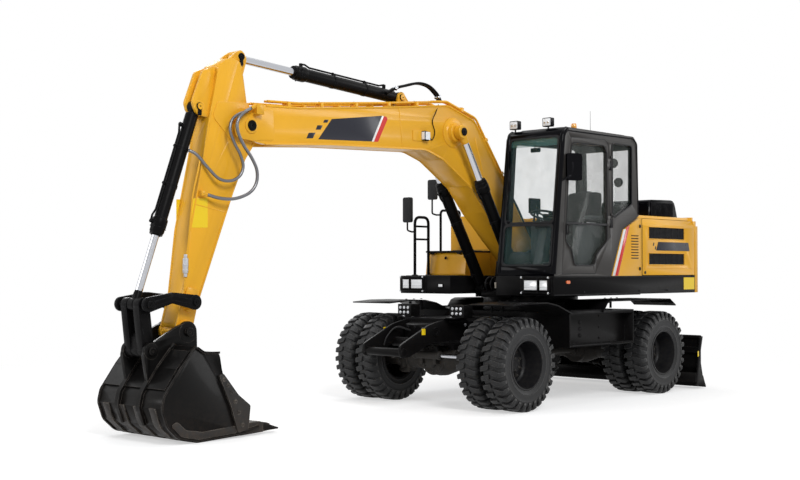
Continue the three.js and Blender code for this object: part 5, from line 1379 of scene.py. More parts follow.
def doorDetail(bm, s):
    face, deep = doorSize["face"], doorSize["face"] - doorSize["depth"]
    for x0, x1 in doorSize["slots"]:
        for z0, z1 in doorSize["rows"]:
            addBox(bm, (x0, s * deep, z0), (x1, s * (deep + 0.002), z1), 1)
            outline = tile(x0 - 0.006, z0 - 0.006, x1 + 0.006, z1 + 0.006)
            path = [at(x, s * (face + 0.001), z) for x, z in outline]
            for a, b in zip(path, [*path[1:], path[0]]):
                addBar(bm, a, b, 0.005, 0, 10)
    # blank slanted label between the grilles, one long crease below and a flush lock
    addSidePlate(bm, [(-0.936, 1.788), (-1.75, 1.788), (-1.72, 1.896), (-0.985, 1.896)], s, face, 0.0012, 2)
    for k in (0, 1):
        x = -0.905 + 0.045 * k
        slanted(x, 1.8 + 0.045 * k, x - 0.012, 1.84 + 0.045 * k, 0.026, 0.026, face, s, 2, bm)
    addBox(bm, (-1.86, s * (face - 0.001), 1.565), (-0.63, s * (face + 0.0035), 1.57))
    addBox(bm, (-0.625, s * (face - 0.001), 1.486), (-0.621, s * (face + 0.0012), 2.1), 1)
    addDisc(bm, (0.02, 0.003, 0.016, 0.006), at(-0.68, s * face, 1.515), (0, s, 0), 1, 24)


for side, s in sideSigns.items():
    refinedNode(f"{side}_engine_door", f"{side}_engine_door", "yellowPaint", 0.006,
        lambda bm: doorDetail(bm, s), ("trimPlastic", "blankLabel"))
    for k, (z0, z1) in enumerate(doorSize["rows"]):
        slat = bmesh.new()
        addPlate(slat, [(s * 1.225, z0 + 0.004), (s * 1.238, z0 - 0.004), (s * 1.238, z0),
            (s * 1.225, z0 + 0.008)], "x", -1.615, -0.769)
        rowPiece(f"{side}_grille_slats_{k}", slat, (0, 0, 0.015), 9, f"{side}_engine_door", "trimPlastic",
            0)
        post = bmesh.new()
        addBox(post, (-1.611, s * 1.224, z0), (-1.604, s * 1.236, z1))
        rowPiece(f"{side}_grille_posts_{k}", post, (0.1395, 0, 0), 7, f"{side}_engine_door", "blackPaint",
            0)


def hoodDetail(bm):
    paintFaces(bm, lambda c, n: c.z > 2.2262, 1)
    for s in (1, -1):
        addBar(bm, at(-1.05, s * 0.6, 2.232), at(-0.8, s * 0.6, 2.232), 0.011, 1, 14)
    for y in (-0.95, -0.2):
        addPlate(bm, tile(-1.7, y, -0.8, y + 0.02), "z", 2.224, 2.23)
    addLathe(bm, [(0, 0), (0.075, 0), (0.075, 0.1), (0.06, 0.13), (0.055, 0.13), (0.055, 0.02), (0, 0.02)],
        at(-1.35, -0.62, 2.222), axisZ, 1, 36)


refinedNode("engine_hood", "engine_hood", "yellowPaint", 0.01, hoodDetail,
    ("cabFramePaint",))
rib = bmesh.new()
addPlate(rib, [(1.006, 2.24), (1.022, 2.24), (1.022, 2.4), (1.016, 2.41), (1.006, 2.41)], "x", -1.205,
    -1.192)
rowPiece("scoop_ribs", rib, (-0.03, 0, 0), 18, "engine_hood", "cabFramePaint", 0.002)


def tankDetail(bm):
    addLathe(bm, [(0, -0.01), (0.06, -0.01), (0.06, 0.018), (0.052, 0.026), (0.052, 0.05), (0.044, 0.058),
        (0, 0.058)], at(-0.1, -0.86, 2.247), axisZ, 1, 36)
    addBox(bm, (0.1, -1.2, 1.8), (0.1075, -0.6, 1.806), 1)
    for y in (-1.16, -0.64):
        for z in (1.54, 2.06):
            addBolt(bm, at(0.105, y, z), axisX, 0.01, 0.007, 1)
    addPlate(bm, tile(-0.55, 1.53, 0.05, 2.05, 0.03), "y", -1.2285, -1.2325)


refinedNode("fuel_tank", "upper_structure", "yellowPaint", 0.01, tankDetail,
    ("trimPlastic",))


def toolBoxDetail(bm):
    addPlate(bm, tile(0.11, -1.216, 0.616, -0.556), "z", 1.768, 1.79, 1)
    addDisc(bm, (0.02, 0.004, 0.012, 0.008), at(0.612, -0.88, 1.7), axisX, 1, 24)
    addBox(bm, (0.611, -1.19, 1.5), (0.6165, -0.59, 1.506))
    for y in (-1.1, -0.66):
        addBox(bm, (0.609, y - 0.03, 1.745), (0.62, y + 0.03, 1.772), 1)


refinedNode("tool_box", "upper_structure", "yellowPaint", 0.008, toolBoxDetail,
    ("blackPaint",))

railBm = bmesh.new()
addTube(railBm, bentPath([at(0.64, -1.15, 1.476), at(0.64, -1.15, 2.217), at(0.896, -1.15, 2.217),
    at(0.896, -1.15, 1.476)], 0.09, 8), 0.0185, 0, 18)
for z in (1.936, 2.1):
    addBar(railBm, at(0.64, -1.15, z), at(0.896, -1.15, z), 0.013, 0, 16)
for x in (0.64, 0.896):
    addDisc(railBm, (0.04, 0.008, 0.024, 0.014), at(x, -1.15, 1.4755), axisZ, 0, 28)
# grab rail from the tool box to the tank top
addTube(railBm, bentPath([at(0.4, -1.15, 1.788), at(0.4, -1.15, 2.32), at(0.02, -1.15, 2.32),
    at(0.02, -1.15, 2.236)], 0.06, 8), 0.016, 0, 16)
# a mirror on each rail: stalk, housing, glass
for x, foot, low, high in ((0.915, 2.03, 2.15, 2.47), (0.44, 2.26, 2.46, 2.72)):
    stalk = [at(x - 0.019, -1.15, foot), at(x, -1.19, foot), at(x, -1.262, foot + 0.02),
        at(x, -1.262, low + 0.05)]
    addTube(railBm, bentPath(stalk, 0.03), 0.011, 0, 14)
    addPlate(railBm, tile(-1.316, low, -1.175, high, 0.03), "x", x - 0.01, x + 0.03, 1)
    addPlate(railBm, tile(-1.306, low + 0.01, -1.185, high - 0.01, 0.02), "x", x - 0.0115, x - 0.0095, 2)
makePiece("handrail_finish", railBm, "upper_structure", ["blackPaint", "trimPlastic", "mirrorGlass"], 0.006,
    2, ["handrail_right"])


def engineDetail(bm):
    for k in range(6):
        x = -1.5 + 0.12 * k
        addDisc(bm, (0.045, 0.05, 0.03, 0.065), at(x, 0.2, 2.04), axisZ, 0, 24)
    for s in (1, -1):
        addTube(bm, bentPath([at(-1.55, s * 0.33, 1.98), at(-1.55, s * 0.46, 1.98),
            at(-0.95, s * 0.46, 1.98), at(-0.95, s * 0.4, 1.8)], 0.06), 0.04, 0, 20)
        addLathe(bm, [(0, 0), (0.055, 0), (0.06, 0.01), (0.06, 0.2), (0.05, 0.22), (0, 0.22)],
            at(-1.2, s * 0.47, 1.55), axisZ, 1, 32)
        addLathe(bm, [(0, 0), (0.05, 0), (0.055, 0.01), (0.055, 0.18), (0.045, 0.2), (0, 0.2)],
            at(-1.02, s * 0.47, 1.55), axisZ, 2, 32)
        for k in range(4):
            addTube(bm, smoothPath([at(-1.62 + 0.1 * k, s * 0.42, 1.7), at(-1.6 + 0.1 * k, s * 0.5, 1.6),
                at(-1.5 + 0.1 * k, s * 0.49, 1.48), at(-1.4 + 0.1 * k, s * 0.42, 1.42)], 0.03), 0.011, 3,
                10)
    addDisc(bm, (0.2, 0.03, 0.05, 0.05), at(-0.8, 0, 1.66), axisX, 0, 40)


refinedNode("engine_block", "upper_structure", "castIron", 0.012, engineDetail,
    ("greyPlastic", "brightYellow", "rubberHose"))
print("upper structure made")


# cab: shell, door, seals, glass, lamps, mirrors and what stands inside
def addRing(bm, points, plane, low, high, width, mat=0):
    # a frame with the given outline outside and its width inside
    outer = rounded(points, 7)
    middle = sum(outer, Vector((0, 0))) / len(outer)
    count = len(outer)
    inner = []
    for i, point in enumerate(outer):
        side = (outer[(i + 1) % count] - outer[i - 1]).normalized()
        inward = Vector((-side.y, side.x))
        if inward.dot(middle - point) < 0:
            inward = -inward
        inner.append(point + inward * width)
    shift = {"x": (0, slewX), "y": (slewX, 0), "z": (slewX, 0)}[plane]
    rows = []
    for loop, level in ((outer, low), (outer, high), (inner, high), (inner, low)):
        rows.append([bm.verts.new(onPlane(plane, p[0] + shift[0], p[1], level + shift[1])) for p in loop])
    return addShell(bm, rows, True, mat)


cab = {"bottom": 1.4753, "top": 3.1653, "left": 1.238, "right": 0.43, "lean": 0.11939, "frontFoot": 1.207}
doorWindow = [(0.803, 1.605, 0.06), (0.868, 1.785, 0.06), (0.975, 1.88, 0.06), (0.925, 2.564),
    (0.85, 2.99, 0.06), (0.211, 3.005, 0.06), (0.15, 2.924), (0.15, 1.89, 0.06), (0.37, 1.735, 0.09),
    (0.42, 1.605, 0.06)]
doorOutline = [(1.062, 1.4973, 0.02), (0.985, 2.56), (0.89, 3.06, 0.04), (0.184, 3.085, 0.06),
    (0.114, 3.03, 0.04), (0.075, 1.935), (0.36, 1.715, 0.12), (0.392, 1.4973, 0.02)]
quarterWindow = [(0.025, 3.05, 0.04), (-0.385, 3.045, 0.04), (-0.38, 2.345, 0.04), (-0.015, 2.18, 0.03),
    (0.025, 2.2, 0.03)]
rightWindow = [(1.01, 1.76, 0.05), (0.9, 3.02, 0.06), (-0.38, 3.045, 0.06), (-0.38, 2.345, 0.06),
    (0.06, 2.15, 0.06), (0.2, 1.76, 0.05)]


def frontX(z):
    return cab["frontFoot"] - (z - cab["bottom"]) * cab["lean"]


def addFrontRing(bm, y0, y1, z0, z1, radius, width, low, high, mat):
    # a frame that lies on the leaning front
    outer = rounded(tile(y0, z0, y1, z1, radius), 7)
    inner = rounded(tile(y0 + width, z0 + width, y1 - width, z1 - width, radius), 7)
    rows = []
    for loop, proud in ((outer, low), (outer, high), (inner, high), (inner, low)):
        rows.append([bm.verts.new(at(frontX(z) + proud, y, z)) for y, z in loop])
    addShell(bm, rows, True, mat)


def shellDetail(bm):
    paintFaces(bm, lambda c, n: abs(n.y) > 0.8 and (c.y > 1.2 or c.y < 0.45), 1)
    paintFaces(bm, lambda c, n: 0.46 < c.y < 1.19 and cab["bottom"] + 0.04 < c.z < cab["top"] - 0.04
        and -0.5 < localX(c) < frontX(c.z) - 0.03, 2)
    # rubber round the openings
    addFrontRing(bm, 0.478, 1.187, 2.073, 3.077, 0.055, 0.022, -0.002, 0.007, 2)
    addFrontRing(bm, 0.478, 1.187, 1.588, 2.067, 0.055, 0.022, -0.002, 0.007, 2)
    addRing(bm, quarterWindow, "y", 1.232, 1.2445, -0.014, 2)
    addRing(bm, rightWindow, "y", 0.423, 0.436, -0.014, 2)
    # glossy front posts with a rounded outer edge and a roof gutter
    for y in (cab["right"] + 0.022, cab["left"] - 0.022):
        path = smoothPath([at(frontX(z) - 0.01, y, z) for z in (1.5, 1.9, 2.4, 2.85, 3.06)], 0.15)
        path += smoothPath([at(0.985, y, 3.105), at(0.93, y, 3.15)], 0.05)
        addTube(bm, path, 0.032, 0, 18)
    gutter = bentPath([at(0.975, 1.2385, 3.128), at(-0.42, 1.2385, 3.14), at(-0.505, 1.2385, 3.085),
        at(-0.528, 1.2385, 2.22)], 0.06)
    addTube(bm, gutter, 0.008, 0, 10)
    # roof: raised centre panel, hatch, lamps, beacon and aerial
    addPlate(bm, tile(-0.38, 0.5, 0.88, 1.17, 0.08), "z", 3.16, 3.182)
    addPlate(bm, tile(0.1, 0.58, 0.72, 1.09, 0.05), "z", 3.18, 3.196, 1)
    for y in (0.505, 0.98):
        addBar(bm, at(0.955, y, 3.155), at(0.955, y, 3.205), 0.009, 0, 14)
        addPlate(bm, tile(y - 0.062, 3.19, y + 0.062, 3.292, 0.014), "x", 0.925, 0.985)
        addPlate(bm, tile(y - 0.052, 3.2, y + 0.052, 3.282, 0.01), "x", 0.984, 0.99, 3)
        for shift in (-0.024, 0.024):
            addLathe(bm, [(0, 0), (0.019, 0), (0.012, 0.003), (0, 0.004)], at(0.99, y + shift, 3.241),
                axisX, 4, 20)
    addDisc(bm, (0.042, 0.02, 0.036, 0.024), at(0.62, 1.1, 3.163), axisZ, 0, 28)
    addLathe(bm, [(0, 0.022), (0.034, 0.022), (0.034, 0.066), (0.026, 0.082), (0, 0.086)],
        at(0.62, 1.1, 3.163), axisZ, 5, 28)
    addLathe(bm, [(0, 0), (0.022, 0), (0.014, 0.02), (0.005, 0.035), (0.0025, 0.04), (0.0018, 0.3),
        (0, 0.3)], at(0.02, 0.92, 3.163), axisZ, 0, 16)
    # hinge blocks beside the door and bolts on the front
    for z in (2.1, 2.78):
        addBox(bm, (0.035, 1.236, z - 0.052), (0.096, 1.247, z + 0.052))
    for y in (0.56, 1.1):
        addBolt(bm, at(frontX(1.53), y, 1.53), (1, 0, 0.119), 0.008, 0.005)
    for z in (1.56, 2.02, 2.32, 2.9):
        addBolt(bm, at(frontX(z) + 0.012, 1.222, z), (1, 0, 0.119), 0.007, 0.005)
        addBolt(bm, at(frontX(z) + 0.012, 0.448, z), (1, 0, 0.119), 0.007, 0.005)


refinedNode("cab_shell", "upper_structure", "cabFramePaint", 0.012, shellDetail,
    ("cabPaint", "trimPlastic", "lampLens", "zincPlate", "beaconLens"))


def doorPieceDetail(bm):
    addRing(bm, doorWindow, "y", 1.236, 1.2425, -0.013, 1)
    addRing(bm, doorOutline, "y", 1.2335, 1.2365, 0.016, 1)
    # bar across the window, handle with its cup and hinge knuckles
    addBox(bm, (0.158, 1.222, 2.066), (0.962, 1.241, 2.09), 1)
    addPlate(bm, tile(0.925, 1.945, 0.985, 2.075, 0.012), "y", 1.236, 1.2425, 1)
    addTube(bm, bentPath([at(0.955, 1.24, 1.96), at(0.955, 1.262, 1.966), at(0.955, 1.262, 2.054),
        at(0.955, 1.24, 2.06)], 0.01), 0.007, 2, 12)
    for z in (2.1, 2.78):
        addBar(bm, at(0.066, 1.24, z - 0.046), at(0.066, 1.24, z + 0.046), 0.012, 1, 20)
        addBox(bm, (0.08, 1.234, z - 0.036), (0.15, 1.2455, z + 0.036))
        for dz in (-0.02, 0.02):
            addBolt(bm, at(0.125, 1.2455, z + dz), axisY, 0.006, 0.004)


refinedNode("cab_door", "cab_door", "cabPaint", 0.006, doorPieceDetail,
    ("trimPlastic", "blackPaint"))
glazing = {"door_window": ("cab_door", "sideGlass"), "left_rear_window": ("upper_structure", "sideGlass"),
    "right_window": ("upper_structure", "paneGlass"), "rear_window": ("upper_structure", "paneGlass"),
    "windshield_lower": ("upper_structure", "paneGlass"), "windshield_upper": ("upper_structure",
    "paneGlass")}
for node, (body, look) in glazing.items():
    refinedNode(node, body, look, 0.001)

trim = bmesh.new()
# sun strip, interior mirror, wiper, left mirror and its arm
sunRows = []
for z in (3.06, 2.965):
    sunRows.append([trim.verts.new(at(frontX(z) - d, y, z)) for y, d in tile(0.5, 0.006, 1.165, 0.01)])
addShell(trim, sunRows, False, 1)
addPlate(trim, tile(0.74, 2.905, 0.87, 2.955, 0.014), "x", 0.955, 0.975)
addBar(trim, at(0.975, 0.805, 2.955), at(1.0, 0.805, 3.01), 0.005, 0, 10)
wiper = [at(frontX(2.1) + 0.016, 0.545, 2.1), at(frontX(2.4) + 0.02, 0.53, 2.4),
    at(frontX(2.7) + 0.02, 0.52, 2.7)]
addTube(trim, wiper, 0.006, 0, 10)
addBox(trim, (frontX(2.7) + 0.006, 0.512, 2.46), (frontX(2.46) + 0.014, 0.522, 2.93))
addDisc(trim, (0.02, 0.012, 0.012, 0.024), wiper[0] - Vector((0.012, 0, 0)), axisX, 0, 20)
mirrorArm = bentPath([at(1.09, 1.205, 2.56), at(1.06, 1.262, 2.56), at(0.98, 1.27, 2.6),
    at(0.915, 1.275, 2.62)], 0.03)
addTube(trim, mirrorArm, 0.011, 0, 14)
addTube(trim, bentPath([at(0.93, 1.272, 2.6), at(0.91, 1.285, 2.7), at(0.91, 1.285, 2.76)], 0.02), 0.009, 0,
    12)
facing = Matrix.Translation(at(0.88, 1.277, 2.715)) @ Matrix.Rotation(math.radians(-18), 4, "Z")
before = set(trim.verts)
addPlate(trim, [(-0.105 - slewX, -0.155, 0.035), (0.105 - slewX, -0.155, 0.035),
    (0.105 - slewX, 0.155, 0.045), (-0.105 - slewX, 0.155, 0.045)], "y", -0.012, 0.024)
addPlate(trim, [(-0.094 - slewX, -0.144, 0.028), (0.094 - slewX, -0.144, 0.028),
    (0.094 - slewX, 0.144, 0.036), (-0.094 - slewX, 0.144, 0.036)], "y", -0.0145, -0.011, 2)
bmesh.ops.transform(trim, matrix=facing, verts=[v for v in trim.verts if v not in before])
makePiece("cab_trim", trim, "upper_structure", ["cabFramePaint", "sunStrip", "mirrorGlass"], 0.004, 2, ())

# inside: seat with crowned cushions, consoles, column, levers, floor mat and screen
seatY = 0.835
floorZ = 1.5256


def addCushion(bm, low, high, crown, mat=0, cuts=9, seams=()):
    # a crowned block: faces swell between the edges, sides pull in between the corners
    (x0, y0, z0), (x1, y1, z1) = low, high
    bmesh.ops.create_cube(bm, size=2.0)
    bmesh.ops.subdivide_edges(bm, edges=bm.edges, cuts=cuts, use_grid_fill=True)
    verts = list(bm.verts)
    middle = Vector(((x0 + x1) / 2, (y0 + y1) / 2, (z0 + z1) / 2))
    half = Vector(((x1 - x0) / 2, (y1 - y0) / 2, (z1 - z0) / 2))
    for v in verts:
        a = v.co.copy()
        soft = [a[i] * math.sqrt(max(0.0, 1 - 0.16 * a[i - 1] ** 2 - 0.16 * a[i - 2] ** 2
            + 0.05 * a[i - 1] ** 2 * a[i - 2] ** 2)) for i in range(3)]
        swell = [1 + crown[i] * (1 - a[i - 1] ** 2) * (1 - a[i - 2] ** 2) for i in range(3)]
        place = Vector([soft[i] * swell[i] * half[i] for i in range(3)])
        for axis, spot, depth in seams:
            gap = abs(a[axis] - spot)
            if gap < 0.16:
                place *= 1 - depth * (1 - gap / 0.16)
        v.co = at(*(middle + place))
    faces = {f for v in verts for f in v.link_faces}
    for face in faces:
        face.material_index = mat
        face.smooth = True
    bmesh.ops.recalc_face_normals(bm, faces=list(faces))


seat = {"fill": 0.75, "cushion": ((0.06, 0.585, 1.824), (0.6, 1.085, 1.952)),
    "back": ((0.03, 0.6, 1.93), (0.16, 1.07, 2.5))}
for label, part in (("seat_cushion", "cushion"), ("seat_back", "back")):
    bm = bmesh.new()
    low, high = seat[part]
    if part == "cushion":
        addCushion(bm, low, high, (0.02, 0.03, 0.28), 0, 13, ((1, 0.55, 0.05), (1, -0.55, 0.05)))
    else:
        addCushion(bm, low, high, (0.3, 0.02, 0.02), 0, 13, ((1, 0.55, 0.05), (1, -0.55, 0.05)))
        tip = Matrix.Rotation(math.radians(-9), 4, "Y")
        centre = at(0.1, seatY, 1.95)
        bmesh.ops.transform(bm, matrix=Matrix.Translation(centre) @ tip @ Matrix.Translation(-centre),
            verts=bm.verts)
    piece = makePiece(label, bm, "upper_structure", ["seatCloth"], 0, 2,
        ["operator_seat"] if part == "cushion" else (), 60)
base = bmesh.new()
addPlate(base, [(0.15, floorZ), (0.52, floorZ), (0.5, floorZ + 0.1, 0.02), (0.56, floorZ + 0.3),
    (0.1, floorZ + 0.3), (0.17, floorZ + 0.1, 0.02)], "y", seatY - 0.165, seatY + 0.165)
for z in (floorZ + 0.12, floorZ + 0.15, floorZ + 0.18, floorZ + 0.21):
    addPlate(base, tile(0.14, seatY - 0.18, 0.53, seatY + 0.18, 0.02), "z", z, z + 0.016)
for s in (1, -1):
    addBox(base, (0.06, seatY + s * 0.26 - 0.03, floorZ + 0.62), (0.36, seatY + s * 0.26 + 0.03,
        floorZ + 0.66), 1)
    addBar(base, at(0.08, seatY + s * 0.26, floorZ + 0.42), at(0.08, seatY + s * 0.26, floorZ + 0.63),
        0.014, 0, 14)
makePiece("seat_base", base, "upper_structure", ["trimPlastic", "greyPlastic"], 0.004, 2, ())


def consoleDetail(bm):
    for s in (1, -1):
        y = seatY + s * 0.3
        lever = at(0.56, y, floorZ + 0.56)
        addLathe(bm, [(0, 0), (0.05, 0), (0.046, 0.012), (0.03, 0.03), (0.024, 0.05), (0.012, 0.062),
            (0.011, 0.11), (0.019, 0.13), (0.024, 0.165), (0.022, 0.2), (0.014, 0.225), (0, 0.23)], lever,
            (0.06, 0, 1), 1, 24)
        addPlate(bm, tile(0.22, y - 0.024, 0.44, y + 0.024), "z", floorZ + 0.56, floorZ + 0.568, 1)
        for k in range(5):
            addBar(bm, at(0.245 + 0.04 * k, y, floorZ + 0.566), at(0.245 + 0.04 * k, y, floorZ + 0.578),
                0.01, 2, 14)


refinedNode("operator_console", "upper_structure", "greyPlastic", 0.012, consoleDetail,
    ("trimPlastic", "zincPlate"))
wheelBm = bmesh.new()
columnTop = at(0.795, seatY, floorZ + 0.655)
tilt = Vector((-0.28, 0, 1)).normalized()
first, second, along = turnFrame(tilt)
ringRows = []
for k in range(48):
    a = 2 * math.pi * k / 48
    out = first * math.cos(a) + second * math.sin(a)
    ringRows.append([wheelBm.verts.new(columnTop + out * (0.182 + 0.0135 * math.cos(b))
        + along * 0.0135 * math.sin(b)) for b in (2 * math.pi * j / 12 for j in range(12))])
addShell(wheelBm, ringRows, True, 0, True)
for k in range(3):
    a = 2 * math.pi * (k + 0.5) / 3
    out = first * math.cos(a) + second * math.sin(a)
    addBar(wheelBm, columnTop + out * 0.03 - along * 0.012, columnTop + out * 0.178, 0.01, 0, 12)
addLathe(wheelBm, [(0, -0.04), (0.034, -0.04), (0.046, -0.016), (0.04, 0.008), (0, 0.012)], columnTop, tilt,
    0, 28)
addPlate(wheelBm, [(1.01, floorZ), (0.88, floorZ), (0.765, floorZ + 0.6), (0.825, floorZ + 0.63)], "y",
    seatY - 0.055, seatY + 0.055, 1)
addPlate(wheelBm, [(0.91, floorZ + 0.5, 0.02), (0.79, floorZ + 0.5, 0.02), (0.77, floorZ + 0.6, 0.02),
    (0.86, floorZ + 0.62, 0.02)], "y", seatY - 0.085, seatY + 0.085)
for s in (1, -1):
    addBar(wheelBm, at(0.83, seatY + s * 0.06, floorZ + 0.56), at(0.8, seatY + s * 0.2, floorZ + 0.6),
        0.006, 0, 10)
    addPlate(wheelBm, [(0.86, floorZ + 0.02), (1.0, floorZ + 0.1), (0.996, floorZ + 0.112),
        (0.855, floorZ + 0.034)], "y", seatY + s * 0.13 - 0.045, seatY + s * 0.13 + 0.045)
    addBar(wheelBm, at(0.93, seatY + s * 0.13, floorZ - 0.004), at(0.94, seatY + s * 0.13, floorZ + 0.075),
        0.01, 0, 10)
makePiece("steering_column_finish", wheelBm, "upper_structure", ["trimPlastic", "greyPlastic"], 0.005, 2,
    ["steering_column"])
inner = bmesh.new()
addPlate(inner, tile(-0.02, 0.49, 1.1, 1.18), "z", floorZ - 0.002, floorZ + 0.006)
addPlate(inner, tile(0.5, 2.22, 0.7, 2.4, 0.015), "y", 0.5, 0.53)
addPlate(inner, tile(0.515, 2.235, 0.685, 2.385), "y", 0.53, 0.532, 1)
addBar(inner, at(0.6, 0.49, 1.95), at(0.6, 0.515, 2.23), 0.012, 0, 12)
addPlate(inner, [(-0.48, 1.56), (-0.1, 1.56), (-0.1, 1.9, 0.05), (-0.4, 2.05, 0.05), (-0.48, 2.05)], "y",
    0.49, 1.18)
for z in (2.62, 2.86):
    addLathe(inner, [(0, 0), (0.05, 0), (0.06, 0.02), (0.052, 0.05), (0, 0.05)],
        at(-0.46, 0.95 if z > 2.7 else 1.02, z), axisX, 0, 28)
makePiece("cab_inside", inner, "upper_structure", ["trimPlastic", "blankLabel"], 0.004, 2, ())
print("cab made")


# boom, stick, bucket and links
arm = {"boomHalf": 0.175, "stickHalf": 0.115}
boomLine = [(0.175, 1.61, 0.1), (0.14, 1.8, 0.1), (0.904, 2.79, 0.35), (1.304, 3.293, 0.22),
    (1.78, 3.43, 0.25), (2.881, 3.303), (4.055, 3.182), (4.5, 3.163, 0.06), (4.837, 3.003, 0.12),
    (4.807, 2.813, 0.12), (4.515, 2.775, 0.06), (3.638, 2.835), (2.163, 2.89, 0.4), (1.876, 2.802, 0.35),
    (1.389, 2.514, 0.35), (1.107, 2.22, 0.3), (0.38, 1.605, 0.06)]


def addRibbon(bm, points, y0, y1, inward, outward, mat=0):
    # a flange strip along an open line of the outline
    line = rounded([(*p[:2], 0) if i in (0, len(points) - 1) else p for i, p in enumerate(points)], 9)
    y0, y1 = sorted((y0, y1))
    rows = []
    for i, point in enumerate(line):
        along = (line[min(i + 1, len(line) - 1)] - line[max(i - 1, 0)]).normalized()
        side = Vector((-along.y, along.x))
        rows.append([bm.verts.new(at(q.x, y, q.y)) for q, y in ((point - side * inward, y0),
            (point + side * outward, y0), (point + side * outward, y1), (point - side * inward, y1))])
    return addShell(bm, rows, False, mat)


def addEye(bm, x, z, radius, *levels):
    # a round boss between two levels of Y with its edges eased
    edge = 0.005
    low, high = sorted(levels)
    profile = [(0, low), (radius - edge, low), (radius, low + edge), (radius, high - edge),
        (radius - edge, high), (0, high)]
    return addLathe(bm, profile, at(x, 0, z), axisY)


def addPinCap(bm, x, z, radius, y, s, mat):
    # a pin end with its grease nipple
    addLathe(bm, [(0, 0), (radius, 0), (radius, 0.012), (radius * 0.88, 0.018), (radius * 0.3, 0.018),
        (radius * 0.26, 0.012), (0, 0.012)], at(x, s * y, z), (0, s, 0), mat, 36)
    addBar(bm, at(x, s * (y + 0.01), z), at(x, s * (y + 0.024), z), 0.006, mat, 10)


